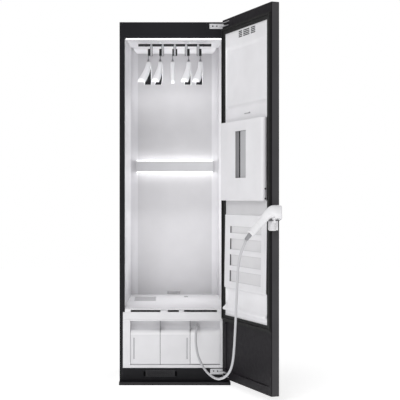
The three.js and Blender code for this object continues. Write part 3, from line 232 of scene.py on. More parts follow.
BLACK = (0.0098, 0.0095, 0.0116)
COOL_WHITE = (0.785, 0.78, 0.8)
finishes = {
    "black_paint": powder_coat("black_powder_coat", BLACK, 0.42),
    "black_plastic": moulded("black_moulding", BLACK, 0.5, gloss=0.2),
    "dark_plastic": moulded("charcoal_moulding", (0.018, 0.018, 0.02), 0.45, gloss=0.3),
    "white_plastic": moulded("white_moulding", COOL_WHITE, 0.42),
    "grey_plastic": moulded("grey_moulding", (0.54, 0.54, 0.56), 0.45),
    "clear_window": moulded("smoked_window", (0.45, 0.45, 0.47), 0.2, coat=0.5),
    "lamp_diffuser": lit("lamp_glow", (1.0, 1.0, 1.0), 1.5),
    "zinc_sheet": galvanised("zinc_sheet", (0.55, 0.56, 0.57)),
    "compressor_paint": powder_coat("compressor_enamel", (0.01, 0.01, 0.011), 0.2),
    "exchanger_metal": drawn_metal("fin_aluminium", (0.8, 0.8, 0.8), 0.3),
    "generator_metal": drawn_metal("cast_aluminium", (0.6, 0.6, 0.62), 0.45, (1, 1, 1)),
    "hinge_steel": drawn_metal("hinge_steel", (0.62, 0.62, 0.64), 0.35, metallic=0.35),
    "clip_chrome": drawn_metal("clip_chrome", (0.75, 0.76, 0.78), 0.12),
    "rubber": moulded("seal_rubber", (0.012, 0.012, 0.012), 0.7, grain=0.0004),
    "door_glass": moulded("smoked_glass", (0.008, 0.008, 0.01), 0.09, depth=0.0, coat=0.25,
                          gloss=0.3),
    "hose_plastic": moulded("hose_sleeve", (0.51, 0.51, 0.53), 0.4),
    "insulation": felt("insulation_felt", (0.62, 0.6, 0.52)),
}
for part in frame["record"]["subparts"]:
    node = frame["nodes"][part["node"]]
    node.data.materials.clear()
    node.data.materials.append(finishes[part["material_slot"]])


# Steam hose: the route's points from the socket to the boot of the steamer
HOSE_RADIUS = 0.006
LOWER_ROUTE = [
    (0.124, 0.0397, 0.306), (0.1236, 0.022, 0.306), (0.123, 0.002, 0.3056), (0.12, -0.026, 0.3005),
    (0.1148, -0.052, 0.284), (0.1124, -0.072, 0.254), (0.1138, -0.084, 0.222), (0.1185, -0.094, 0.188),
    (0.127, -0.11, 0.157), (0.141, -0.138, 0.128), (0.16, -0.184, 0.102), (0.188, -0.254, 0.0845),
    (0.212, -0.32, 0.081), (0.234, -0.385, 0.092), (0.257, -0.448, 0.117), (0.275, -0.502, 0.155),
    (0.285, -0.54, 0.205), (0.2895, -0.562, 0.262), (0.2925, -0.578, 0.325), (0.2944, -0.592, 0.38),
    (0.2954, -0.599, 0.413),
]
UPPER_ROUTE = [
    (0.2954, -0.59905, 0.4133), (0.2964, -0.606, 0.447), (0.2976, -0.615, 0.49), (0.299, -0.624, 0.532),
    (0.3002, -0.634, 0.578), (0.3018, -0.645, 0.622), (0.3036, -0.656, 0.661), (0.3065, -0.6675, 0.694),
    (0.311, -0.679, 0.723), (0.3165, -0.6885, 0.746), (0.3223, -0.695, 0.763), (0.328, -0.699, 0.777),
    (0.3335, -0.7008, 0.7905), (0.3382, -0.7005, 0.8045),
]


def curve_mesh(name, route, radius):
    """The mesh of a smooth tube through the route, or only its line where the radius is zero."""
    data = bpy.data.curves.new(name, "CURVE")
    data.dimensions = "3D"
    data.resolution_u = 4
    data.bevel_depth = radius
    data.bevel_resolution = 4
    data.use_fill_caps = True
    spline = data.splines.new("BEZIER")
    spline.bezier_points.add(len(route) - 1)
    for point, place in zip(spline.bezier_points, route):
        point.co = place
        point.handle_left_type = point.handle_right_type = "AUTO"
    holder = bpy.data.objects.new(name, data)
    scene.collection.objects.link(holder)
    bpy.context.view_layer.update()
    seen = holder.evaluated_get(bpy.context.evaluated_depsgraph_get())
    mesh = bpy.data.meshes.new_from_object(seen)
    bpy.data.objects.remove(holder)
    return mesh


def lay_hose(name, route, node):
    line = [tuple(vertex.co) for vertex in curve_mesh(name, route, 0.0).vertices]
    mesh = curve_mesh(name, route, HOSE_RADIUS)
    hose = bpy.data.objects.new(name, mesh)
    scene.collection.objects.link(hose)
    for polygon in mesh.polygons:
        polygon.use_smooth = True
    mesh.materials.clear()
    mesh.materials.append(finishes["hose_plastic"])
    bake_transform(hose)
    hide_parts(node)


lay_hose("hose_lower", LOWER_ROUTE, "steam_hose")
lay_hose("hose_upper", UPPER_ROUTE, "steam_hose_upper")


# Mesh helpers: bmesh operators shape each piece, and piece() finishes it. The pieces on the door are
# drawn with the door closed, and piece() turns them open about the hinge.
DOOR = Matrix.Translation(HINGE) @ Matrix.Rotation(OPEN_ANGLE, 4, "Z") @ Matrix.Translation(-HINGE)
DOOR_BODIES = ("door", "press_cover", "press_latch", "steamer")
MERGE = 1e-6
NEAR = 0.0005
SHARP_CREASE = 0.6
SMOOTH_ANGLE = math.radians(35)
FACING = 0.9


def piece(name, shape, body, slot, finish=None, replaced=(), bevel=0.0, closed=True):
    """Turns a bmesh into a finished piece that rides on a body and stands for the replaced nodes.

    Where finish is a tuple of finishes, the first is for the faces that aren't marked.
    """
    if body in DOOR_BODIES:
        bmesh.ops.transform(shape, matrix=DOOR, verts=shape.verts)
    bmesh.ops.remove_doubles(shape, verts=shape.verts, dist=MERGE)
    if closed:
        bmesh.ops.recalc_face_normals(shape, faces=shape.faces)
    if bevel:
        sharp = [edge for edge in shape.edges
                 if edge.is_manifold and edge.calc_face_angle() > SHARP_CREASE]
        bmesh.ops.bevel(shape, geom=sharp, offset=bevel, segments=3, profile=0.5, affect="EDGES",
                        material=-1, clamp_overlap=True)
    for face in shape.faces:
        face.smooth = True
    mesh = bpy.data.meshes.new(name)
    shape.to_mesh(mesh)
    shape.free()
    mesh.set_sharp_from_angle(angle=SMOOTH_ANGLE)
    made = bpy.data.objects.new(name, mesh)
    scene.collection.objects.link(made)
    for kind in finish if isinstance(finish, tuple) else (finish or finishes[slot],):
        mesh.materials.append(kind)
    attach(made, body)
    if replaced:
        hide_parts(*replaced)
    return made


def thicken(made, thickness):
    """Gives a sheet its wall, behind its faces."""
    wall = made.modifiers.new("wall", "SOLIDIFY")
    wall.thickness = thickness
    wall.offset = -1
    return wall


def block(low, high, shape=None):
    """A box from its low corner to its high corner."""
    shape = shape or bmesh.new()
    low, high = Vector(low), Vector(high)
    middle, size = (low + high) / 2, high - low
    bmesh.ops.create_cube(shape, size=1.0, matrix=Matrix.Translation(middle) @ Matrix.Diagonal((*size, 1)))
    return shape


def blocks(*boxes):
    """Several boxes in one shape, each given by its low and high corners."""
    shape = bmesh.new()
    for low, high in boxes:
        block(low, high, shape)
    return shape


def rod(start, end, radius, tip=None, shape=None, segments=32):
    """A rod or cone from start to end."""
    shape = shape or bmesh.new()
    start, end = Vector(start), Vector(end)
    run = end - start
    turn = run.to_track_quat("Z", "Y").to_matrix().to_4x4()
    bmesh.ops.create_cone(shape, cap_ends=True, segments=segments, radius1=radius,
                          radius2=radius if tip is None else tip, depth=run.length,
                          matrix=Matrix.Translation((start + end) / 2) @ turn)
    return shape


def outline(shape, points, closed=True):
    """A loop of edges through points in the plane z = 0."""
    verts = [shape.verts.new((*point, 0.0)) for point in points]
    pairs = list(zip(verts, verts[1:])) + ([(verts[-1], verts[0])] if closed else [])
    return [shape.edges.new(pair) for pair in pairs]


def ring(shape, sides=40):
    """A loop of edges round the unit circle."""
    return outline(shape, [(math.cos(math.tau * side / sides), math.sin(math.tau * side / sides))
                           for side in range(sides)])


def corners(parts):
    """The vertices of some edges or faces."""
    return list({vert for part in parts for vert in part.verts})


def draw_out(shape, edges, move):
    """Extrudes edges by a matrix and gives back the edges at the far end."""
    made = bmesh.ops.extrude_edge_only(shape, edges=edges)["geom"]
    verts = {item for item in made if isinstance(item, bmesh.types.BMVert)}
    bmesh.ops.transform(shape, matrix=move, verts=list(verts))
    return [item for item in made if isinstance(item, bmesh.types.BMEdge)
            and all(vert in verts for vert in item.verts)]


def sweep(shape, edges, frames):
    """Carries edges through the frames, each a matrix that places the unit profile."""
    bmesh.ops.transform(shape, matrix=frames[0], verts=corners(edges))
    for before, after in zip(frames, frames[1:]):
        edges = draw_out(shape, edges, after @ before.inverted())
    return edges


def framed(place, right, up, ahead):
    """The matrix that puts the unit profile at a place, its x to the right, y up and z ahead."""
    return Matrix.Translation(place) @ Matrix((right, up, ahead)).transposed().to_4x4()


def close_loops(shape, *loops):
    """Fills each loop of edges with a face."""
    for loop in loops:
        bmesh.ops.contextual_create(shape, geom=loop)


def close_line(shape, line):
    """Joins the two ends of a line of edges and fills the loop."""
    ends = [vert for vert in corners(line) if sum(edge in line for edge in vert.link_edges) == 1]
    close_loops(shape, line + [shape.edges.new(ends)])


def cells_within(shape, left, right, low, high):
    """The faces whose middles lie inside a rectangle, seen from the front."""
    return [face for face in shape.faces
            if left < face.calc_center_median().x < right and low < face.calc_center_median().z < high]


def mark(faces, kinds, finish):
    """Gives faces a finish out of the piece's kinds of finish."""
    for face in faces:
        face.material_index = kinds.index(finish)


def slice_sheet(shape, columns=(), rows=(), faces=None):
    """Cuts the sheet, or only these faces of it, along upright columns and level rows."""
    faces = faces or shape.faces[:]
    geom = faces + list({edge for face in faces for edge in face.edges}) + corners(faces)
    for places, normal in ((columns, (1, 0, 0)), (rows, (0, 0, 1))):
        for place in places:
            geom = bmesh.ops.bisect_plane(shape, geom=geom, dist=MERGE, plane_co=Vector(normal) * place,
                                          plane_no=normal)["geom"]


def sink(shape, faces, depth, draft=0.0008):
    """Presses faces into the sheet and gives them back with the walls round them."""
    walls = bmesh.ops.inset_region(shape, faces=faces, thickness=draft, depth=0.0,
                                   use_even_offset=True)["faces"]
    bmesh.ops.translate(shape, vec=(0, -depth, 0), verts=corners(faces))
    return faces + walls


# Hangers: white shoulders with a dark hollow below, each on a thin stem
HANGER_NECKS = (-0.1485, -0.082, -0.0122, 0.078, 0.144)
HANGER_BENDS = (-0.0225, -0.0215, 0.002, -0.0157, -0.0175)
HANGER_TWISTS = (-0.0139, -0.005, 0.0, -0.0111, -0.013)
HANGER_TILTS = (0.011, 0.011, 0.019, 0.011, 0.011)
HANGER_SIZES = ((0.027, 0.042), (0.027, 0.042), (0.025, 0.02), (0.026, 0.042), (0.026, 0.042))
HANGER_TOP = 1.775
HANGER_DROP = 0.104
HANGER_HALF = 0.17
HANGER_HEIGHTS = (0.018, 0.026)
HANGER_WALL = 0.0024
WIDTH_POWER = 1.8
BEND_POWER = 2.6
TWIST_POWER = 1.4
DROP_POWER = 1.3
ARCH_POWER = 0.6
ARCH_STEPS = 14
STATION_SHARES = (1, 0.99, 0.965, 0.92, 0.86, 0.8, 0.72, 0.64, 0.55, 0.47, 0.38, 0.3, 0.22, 0.14, 0.07)
ROUNDING_SHARES = (0.76, 0.87, 0.95, 0.99)
STEM_HEIGHTS = (1.766, 1.8157)
STEM_RADIUS = 0.0022
CONE_HEIGHTS = (1.774, 1.789)
CONE_RADII = (0.0075, 0.003)
BAR_Y = 0.215
HANGER_FINISHES = (moulded("hanger_white", (0.8, 0.8, 0.82), 0.32, gloss=0.5),
                   moulded("hanger_underside", (0.012, 0.012, 0.014), 0.5, gloss=0.25))
stem_steel = drawn_metal("stem_steel", (0.3, 0.3, 0.31), 0.3)


def squared(angle):
    """A point of a rounded square arch, at an angle round it."""
    place = (math.cos(angle), math.sin(angle))
    return tuple(math.copysign(abs(share) ** ARCH_POWER, share) for share in place)


def build_hanger(index):
    neck_x = HANGER_NECKS[index]
    neck_width, tip_width = HANGER_SIZES[index]
    neck_height, tip_height = HANGER_HEIGHTS
    rounding = dict(zip(STATION_SHARES, ROUNDING_SHARES))
    frames = []
    for share in [-share for share in STATION_SHARES] + [0] + list(reversed(STATION_SHARES)):
        away = abs(share)
        round_share = rounding.get(away, 1.0)
        width = (neck_width + (tip_width - neck_width) * away ** WIDTH_POWER) * round_share
        height = (neck_height + (tip_height - neck_height) * away) * round_share
        bend = HANGER_BENDS[index] * away ** BEND_POWER
        twist = HANGER_TWISTS[index] * share * away ** TWIST_POWER
        top = HANGER_TOP - HANGER_DROP * away ** DROP_POWER + HANGER_TILTS[index] * share
        place = (neck_x + bend - twist, BAR_Y + HANGER_HALF * share, top - height)
        frames.append(framed(place, (width / 2, 0, 0), (0, 0, height), (0, 1, 0)))
    shape = bmesh.new()
    arch = outline(shape, [squared(math.pi * step / ARCH_STEPS) for step in range(ARCH_STEPS + 1)],
                   closed=False)
    for line in (arch, sweep(shape, arch, frames)):
        close_line(shape, line)
    body = f"hanger_{index + 1}"
    made = piece(f"hanger_shoulder_{index + 1}", shape, body, "white_plastic", finish=HANGER_FINISHES,
                 replaced=(body,))
    wall = thicken(made, HANGER_WALL)
    wall.material_offset = 1
    wall.material_offset_rim = 0
    wall.use_even_offset = True
    low, high = STEM_HEIGHTS
    stem = rod((neck_x, BAR_Y, low), (neck_x, BAR_Y, high), STEM_RADIUS)
    low, high = CONE_HEIGHTS
    rod((neck_x, BAR_Y, low), (neck_x, BAR_Y, high), *CONE_RADII, shape=stem)
    piece(f"hanger_stem_{index + 1}", stem, body, "hinge_steel", finish=stem_steel)


for hanger in range(5):
    build_hanger(hanger)


# Clips: a chrome strap over the bar, with dark cheeks and a dark block beside it
CLIP_PLACES = (-0.132, -0.068, 0.0, 0.064, 0.131)
CLIP_SIDES = ((-1,), (-1,), (-1, 1), (1,), (1,))
CLIP_LOW = 1.806
BAR_Z = 1.866
BAR_RADIUS = 0.0075
STRAP_GAP = 0.0014
STRAP_HALF = 0.0052
STRAP_THICKNESS = 0.0009
STRAP_BEND = 0.02
STRAP_SECTION_SHARES = ((-1, -1), (1, -1), (1, 0.6), (0.8, 1), (-0.8, 1), (-1, 0.6))
CLIP_HALF = 0.0073
CLIP_TOP = BAR_Z - 0.009
CHEEK_NEAR = 0.006
CHEEK_FAR = {1: 0.0195, 2: 0.014}
CHEEK_HALF = 0.009
CHEEK_TOP = 1.8445
strap_chrome = drawn_metal("strap_chrome", (0.55, 0.55, 0.57), 0.3, metallic=0.8)
clip_black = moulded("clip_black", (0.008, 0.008, 0.009), 0.35, gloss=0.4)


def build_clip(index):
    x = CLIP_PLACES[index]
    reach = BAR_RADIUS + STRAP_GAP
    leg = [(0, -reach, height) for height in (CLIP_LOW - BAR_Z, -STRAP_BEND, 0)]
    turns = [math.radians(angle) for angle in range(20, 180, 20)]
    path = leg + [(0, -reach * math.cos(turn), reach * math.sin(turn)) for turn in turns]
    path += [(0, reach, height) for _, _, height in reversed(leg)]
    path = [Vector(place) for place in path]
    frames = []
    for step, place in enumerate(path):
        ahead = path[min(step + 1, len(path) - 1)] - path[max(step - 1, 0)]
        ahead.normalize()
        outward = Vector((0, -ahead.z, ahead.y)) * STRAP_THICKNESS
        frames.append(framed(place + Vector((x, BAR_Y, BAR_Z)), (STRAP_HALF, 0, 0), outward, ahead))
    shape = bmesh.new()
    start = outline(shape, STRAP_SECTION_SHARES)
    close_loops(shape, start, sweep(shape, start, frames))
    piece(f"clip_strap_{index + 1}", shape, "hanger_bar", "clip_chrome", finish=strap_chrome,
          replaced=(f"hanger_clip_{index + 1}",))
    body = block((x - CLIP_HALF, BAR_Y - BAR_RADIUS, CLIP_LOW),
                 (x + CLIP_HALF, BAR_Y + BAR_RADIUS, CLIP_TOP))
    sides = CLIP_SIDES[index]
    for side in sides:
        near, far = sorted((x + side * CHEEK_NEAR, x + side * CHEEK_FAR[len(sides)]))
        block((near, BAR_Y - CHEEK_HALF, CLIP_LOW), (far, BAR_Y + CHEEK_HALF, CHEEK_TOP), shape=body)
    piece(f"clip_block_{index + 1}", body, "hanger_bar", "dark_plastic", finish=clip_black, bevel=0.0012)


for clip in range(5):
    build_clip(clip)


# Hanger bar: a dark rail on two white stems under its carriage
RAIL_HALF = 0.2045
RAIL_TIP = 0.0013
RAIL_TIP_RADIUS = 0.006
STOP_PLACES = (0.158, 0.166)
STOP_RADIUS = 0.0082
BAR_STEM_X = 0.084
BAR_STEM_HEIGHTS = (BAR_Z + 0.004, 1.897)
BAR_STEM_RADIUS = 0.0038
CARRIAGE_HALF = 0.098
CARRIAGE_REACH = 0.013
CARRIAGE_HEIGHTS = (1.8913, 1.8973)


def build_bar():
    rail = rod((-RAIL_HALF, BAR_Y, BAR_Z), (RAIL_HALF, BAR_Y, BAR_Z), BAR_RADIUS)
    stems = bmesh.new()
    for side in (-1, 1):
        places = (RAIL_HALF, RAIL_HALF + RAIL_TIP, *STOP_PLACES)
        end, tip, near, far = ((side * x, BAR_Y, BAR_Z) for x in places)
        rod(end, tip, BAR_RADIUS, RAIL_TIP_RADIUS, shape=rail)
        rod(near, far, STOP_RADIUS, shape=rail)
        foot, head = ((side * BAR_STEM_X, BAR_Y, height) for height in BAR_STEM_HEIGHTS)
        rod(foot, head, BAR_STEM_RADIUS, shape=stems)
    piece("bar_rail", rail, "hanger_bar", "dark_plastic", replaced=("hanger_bar",), bevel=0.0006)
    low, high = CARRIAGE_HEIGHTS
    block((-CARRIAGE_HALF, BAR_Y - CARRIAGE_REACH, low), (CARRIAGE_HALF, BAR_Y + CARRIAGE_REACH, high),
          shape=stems)
    piece("bar_carriage", stems, "hanger_bar", "white_plastic", bevel=0.0008)


build_bar()


# Door liner: one thin moulded sheet, shaped by its profile, with louvres, vents and a band of painted shade
# under the press cover
FACE = -0.01
LINER_HALF = 0.2517
LINER_WALL = 0.003
LINER_STEPS = (
    (1.8797, 0.002), (1.808, 0.002), (1.802, 0.0012), (1.795, -0.0016), (1.788, -0.005),
    (1.782, -0.006), (1.498, -0.006), (1.492, -0.005), (1.485, -0.0016), (1.478, 0.0012),
    (1.472, 0.002),
    (0.993, 0.002), (0.9915, -0.001), (0.9195, -0.001), (0.9165, 0.003), (0.858, 0.0039),
    (0.822, 0.0044), (0.793, 0.0049), (0.736, 0.0058), (0.709, 0.0062), (0.651, 0.0071),
    (0.625, 0.0075), (0.567, 0.0085), (0.54, 0.0089), (0.533, 0.0084), (0.529, 0.002),
    (0.522, -0.005), (0.505, -0.01), (0.48, -0.012), (0.458, -0.0095), (0.44, 0.0),
    (0.43, 0.011), (0.427, 0.016), (0.4225, 0.019), (0.4165, 0.0192), (0.413, 0.017),
    (0.4125, 0.003), (0.4, 0.0022), (0.3823, 0.002),
)
LOUVRE_SLOT_LEFT = 0.169
LOUVRE_SLOT_RIGHT = 0.183
RAMP_LEFT = -0.194
LINER_COLUMNS = (0.249, LOUVRE_SLOT_RIGHT, LOUVRE_SLOT_LEFT, -0.18, RAMP_LEFT, -0.236, -0.248)
EDGE_RIGHT = 0.25
EDGE_LEFT = -0.247
EDGE_REACH = 0.0015
LINER_RIDGE = (0.385, 0.531)
LINER_HOLLOW = (1.465, 1.81)
LINER_BAND = (0.9195, 0.9915)
SILL_TOP = 0.522
LOUVRES = ((0.822, 0.858), (0.736, 0.793), (0.651, 0.709), (0.567, 0.625))
LOUVRE_SLOT_DEPTH = 0.013
RAMP_DEPTH = 0.004
RAMP_DRAFT = 0.0022
RAMP_RISE = 0.003
VENT_FIELD_LOW = 1.83
VENTS = ((0.038, 0.081), (-0.049, 0.025), (-0.118, -0.066))
VENT_ROWS = tuple((1.838 + 0.009 * row, 1.844 + 0.009 * row) for row in range(4))
VENT_DEPTH = 0.004
VENT_DRAFT = 0.0002
BOARD_BOX = ((-0.23, -0.013, 1.015), (0.232, 0.002, 1.381))
liner_white = moulded("liner_white", cool(0.765, 0.015), 0.36, gloss=0.5)
# Painted shade: the band under the press cover is a darker grey for the shade it lies in
band_painted_shade = moulded("band_painted_shade", cool(0.6), 0.5)
# Painted shade: the louvres' ramps and their walls are greyer than the liner, for the shade in the pockets
louvre_painted_shade = moulded("louvre_painted_shade", cool(0.675), 0.45)
louvre_wall_painted_shade = moulded("louvre_wall_painted_shade", cool(0.56), 0.45)
# Painted light: the liner's low part is a whiter copy of the liner white, for the light falling on it
sill_painted_light = moulded("sill_painted_light", cool(0.83, 0.015), 0.36, gloss=0.5)
slot_shade = moulded("slot_shade", (0.1, 0.1, 0.105), 0.6)
vent_shade = moulded("vent_shade", (0.1, 0.1, 0.105), 0.7, gloss=0.1)
board_cloth = felt("board_cloth", (0.62, 0.62, 0.64))
LINER_FINISHES = (liner_white, band_painted_shade, slot_shade, vent_shade, louvre_painted_shade, louvre_wall_painted_shade, sill_painted_light)


def flatten_liner_sides(shape):
    """Brings the sheet's side edges back to its face where it is ridged or hollow."""
    level = FACE + EDGE_REACH
    for vert in shape.verts:
        x, y, z = vert.co
        ridged = LINER_RIDGE[0] < z < LINER_RIDGE[1]
        if abs(x) > EDGE_RIGHT and (ridged or LINER_HOLLOW[0] < z < LINER_HOLLOW[1]):
            vert.co.y = level
        elif x < EDGE_LEFT and ridged:
            vert.co.y = (y + level) / 2


def press_louvres(shape):
    """Four shallow ramps, each with a deep slot along its high side, painted greyer and near black for the
    shade in them.
    """
    for low, high in LOUVRES:
        slot = cells_within(shape, LOUVRE_SLOT_LEFT, LOUVRE_SLOT_RIGHT, low, high)
        mark(sink(shape, slot, LOUVRE_SLOT_DEPTH), LINER_FINISHES, slot_shade)
        ramp = cells_within(shape, RAMP_LEFT, LOUVRE_SLOT_LEFT, low, high)
        # The pockets' walls and ramps get their painted shade, the slots a near-black painted shade
        mark(sink(shape, ramp, RAMP_DEPTH, RAMP_DRAFT), LINER_FINISHES, louvre_wall_painted_shade)
        mark(ramp, LINER_FINISHES, louvre_painted_shade)
        for vert in corners(ramp):
            vert.co.y += RAMP_RISE * (LOUVRE_SLOT_LEFT - vert.co.x) / (LOUVRE_SLOT_LEFT - RAMP_LEFT)


def press_vents(shape):
    """Three fields of short slots at the head of the door."""
    top = [face for face in shape.faces if face.calc_center_median().z > VENT_FIELD_LOW]
    slice_sheet(shape, sum(VENTS, ()), sum(VENT_ROWS, ()), top)
    for left, right in VENTS:
        for low, high in VENT_ROWS:
            vent = sink(shape, cells_within(shape, left, right, low, high), VENT_DEPTH, VENT_DRAFT)
            mark(vent, LINER_FINISHES, vent_shade)


def build_liner():
    shape = bmesh.new()
    profile = outline(shape, LINER_STEPS, closed=False)
    for vert, (height, reach) in zip(shape.verts, LINER_STEPS):
        vert.co = (LINER_HALF, FACE + reach, height)
    draw_out(shape, profile, Matrix.Translation((-2 * LINER_HALF, 0, 0)))
    slice_sheet(shape, LINER_COLUMNS)
    flatten_liner_sides(shape)
    press_louvres(shape)
    press_vents(shape)
    # The band gets its painted shade
    mark(cells_within(shape, -LINER_HALF, LINER_HALF, *LINER_BAND), LINER_FINISHES, band_painted_shade)
    # The low part of the sheet gets its painted light
    mark(cells_within(shape, -LINER_HALF, LINER_HALF, 0, SILL_TOP), LINER_FINISHES, sill_painted_light)
    if sum(face.normal.y for face in shape.faces) < 0:
        bmesh.ops.reverse_faces(shape, faces=shape.faces)
    made = piece("liner_sheet", shape, "door", "white_plastic", finish=LINER_FINISHES,
                 replaced=("door_liner",), closed=False)
    thicken(made, LINER_WALL)
    piece("press_board", block(*BOARD_BOX), "door", "grey_plastic", finish=board_cloth, bevel=0.004)


build_liner()


# Press cover: a folded shell with a rolled free edge and a grip window with a pull bar
PRESS_LOW = 0.993
PRESS_HEIGHT = 0.41
PRESS_WALL = 0.0026
PRESS_SECTION = (
    (0.254, 0.0028), (0.254, 0.0245), (0.2532, 0.027), (0.2515, 0.0286), (0.249, 0.029),
    (-0.236, 0.029), (-0.242, 0.028), (-0.2475, 0.025), (-0.2507, 0.0205), (-0.252, 0.015),
    (-0.252, 0.0028),
)
GRIP_LEFT, GRIP_RIGHT = -0.063, 0.064
GRIP_LOW, GRIP_HIGH = 1.109, 1.35
GRIP_DEPTH = 0.0055
GRIP_DRAFT = 0.0012
GAP_LEFT, GAP_RIGHT = 0.014, 0.031
GAP_DEPTH = 0.01
TROUGH_DEPTH = 0.0045
LATCH_X, LATCH_Y = -0.2488, 0.0035
LATCH_HEIGHTS = (1.006, 1.0475)
LATCH_RADIUS = 0.0056
LATCH_CAPS = (((-0.2535, -0.0035, 0.999), (-0.2438, 0.0055, 1.0065)),
              ((-0.2535, -0.0035, 1.0465), (-0.2438, 0.0055, 1.056)))
HOOK_BOXES = (((-0.06, -0.009, 1.4372), (0.006, -0.0045, 1.4402)),
              ((-0.06, -0.006, 1.4372), (-0.053, -0.002, 1.4425)))
# Painted shade and shadow: the grip window's walls and trough are a dark grey and its gap near black, for
# the shade inside it
grip_painted_shade = moulded("grip_painted_shade", (0.26, 0.26, 0.27), 0.5)
grip_gap_painted_shadow = moulded("grip_gap_painted_shadow", (0.004, 0.004, 0.0045), 0.9, gloss=0.02)
grip_bar = moulded("grip_bar", (0.43, 0.43, 0.445), 0.4)
hook_grey = moulded("hook_grey", (0.27, 0.27, 0.28), 0.4)
PRESS_FINISHES = (liner_white, grip_painted_shade, grip_gap_painted_shadow, grip_bar)


def sink_grip(shape):
    """The grip window: a trough, a deep gap and the pull bar, side by side; the window's walls and trough
    are a painted shade grey and the gap a painted black shadow.
    """
    slice_sheet(shape, (GRIP_RIGHT, GAP_RIGHT, GAP_LEFT, GRIP_LEFT), (GRIP_LOW, GRIP_HIGH))
    window = cells_within(shape, GRIP_LEFT, GRIP_RIGHT, GRIP_LOW, GRIP_HIGH)
    mark(sink(shape, window, GRIP_DEPTH, GRIP_DRAFT), PRESS_FINISHES, grip_painted_shade)
    for left, right, depth, finish in ((GAP_RIGHT, GRIP_RIGHT, TROUGH_DEPTH, grip_painted_shade),
                                       (GAP_LEFT, GAP_RIGHT, GAP_DEPTH, grip_gap_painted_shadow),
                                       (GRIP_LEFT, GAP_LEFT, 0.0, grip_bar)):
        faces = [face for face in window if left < face.calc_center_median().x < right]
        mark(sink(shape, faces, depth) if depth else faces, PRESS_FINISHES, finish)


def build_press_cover():
    shape = bmesh.new()
    section = outline(shape, PRESS_SECTION, closed=False)
    for vert, (side, reach) in zip(shape.verts, PRESS_SECTION):
        vert.co = (side, FACE + reach, PRESS_LOW)
    draw_out(shape, section, Matrix.Translation((0, 0, PRESS_HEIGHT)))
    sink_grip(shape)
    for level in (PRESS_LOW, PRESS_LOW + PRESS_HEIGHT):
        close_line(shape, [edge for edge in shape.edges if edge.is_boundary
                           and all(abs(vert.co.z - level) < NEAR for vert in edge.verts)])
    made = piece("press_shell", shape, "press_cover", "white_plastic", finish=PRESS_FINISHES,
                 replaced=("press_cover",))
    thicken(made, PRESS_WALL)
    latch = rod(*((LATCH_X, LATCH_Y, height) for height in LATCH_HEIGHTS), LATCH_RADIUS, segments=20)
    piece("latch_bar", latch, "press_latch", "grey_plastic", replaced=("press_latch",), bevel=0.0008)
    piece("latch_caps", blocks(*LATCH_CAPS), "press_latch", "dark_plastic", finish=clip_black, bevel=0.0015)
    piece("cuff_hook", blocks(*HOOK_BOXES), "door", "dark_plastic", finish=hook_grey, bevel=0.001)


build_press_cover()


# Handheld steamer: a smooth head that runs into its handle, with a collar and a grey boot
STEAMER_X = -0.341
STEAMER_LINE = (
    (-0.028, 0.934, 0.029, 0.038), (-0.014, 0.934, 0.029, 0.038), (0.006, 0.938, 0.028, 0.032),
    (0.034, 0.922, 0.021, 0.024), (0.058, 0.899, 0.018, 0.0185), (0.09, 0.868, 0.018, 0.018),
    (0.118, 0.8385, 0.0176, 0.0176),
)
STEAMER_STOPS = 33
HANDLE_END = Vector(STEAMER_LINE[-1][:2])
HANDLE_RUN = Vector((0.74, -0.68)).normalized()
COLLAR_RINGS = ((-0.004, 0.0172), (-0.003, 0.0184), (0.001, 0.0186), (0.002, 0.0176), (0.003, 0.0176),
                (0.004, 0.0184), (0.007, 0.018), (0.009, 0.016))
BOOT_START = 0.006
BOOT_TIP = Vector((0.147, 0.806))
BOOT_RINGS = ((0, 0.0112), (0.18, 0.011), (0.2, 0.01), (0.3, 0.01), (0.32, 0.0106), (0.48, 0.0102),
              (0.5, 0.0092), (0.6, 0.0092), (0.62, 0.0098), (0.8, 0.0092), (1.0, 0.008))
NECK_BOX = ((STEAMER_X - 0.012, -0.007, 0.884), (STEAMER_X + 0.012, 0.011, 0.925))
SEAM_BOX = ((STEAMER_X - 0.0295, -0.0283, 0.8995), (STEAMER_X + 0.0295, -0.0262, 0.9665))
CATCH_BOXES = (((STEAMER_X - 0.0255, 0.012, 0.8955), (STEAMER_X + 0.0255, 0.026, 0.9)),
               ((STEAMER_X - 0.0255, -0.02, 0.8955), (STEAMER_X + 0.0255, -0.004, 0.9)))
steamer_white = moulded("steamer_white", cool(0.83, 0.015), 0.3, gloss=0.5, coat=0.3)
boot_grey = moulded("boot_grey", (0.31, 0.31, 0.325), 0.5)


def along_line(places, count):
    """Points spaced along a smooth line through the places, with their sizes."""
    stops = []
    last = len(places) - 1
    for step in range(count):
        share = step / (count - 1) * last
        near = min(int(share), last - 1)
        mix = share - near
        a, b, c, d = (Vector(places[max(0, min(last, near + k))]) for k in (-1, 0, 1, 2))
        stops.append(0.5 * (2 * b + (c - a) * mix + (2 * a - 5 * b + 4 * c - d) * mix ** 2
                            + (3 * b - a - 3 * c + d) * mix ** 3))
    return stops


def tube(stops):
    """A closed round body swept through stops of (y, z, half width, half height)."""
    frames = []
    for step, (y, z, half_width, half_height) in enumerate(stops):
        run = stops[min(step + 1, len(stops) - 1)] - stops[max(step - 1, 0)]
        along = Vector((run[0], run[1])).normalized()
        up = Vector((0, -along.y, along.x)) * half_height
        frames.append(framed((STEAMER_X, y, z), (half_width, 0, 0), up, (0, along.x, along.y)))
    shape = bmesh.new()
    start = ring(shape)
    close_loops(shape, start, sweep(shape, start, frames))
    return shape


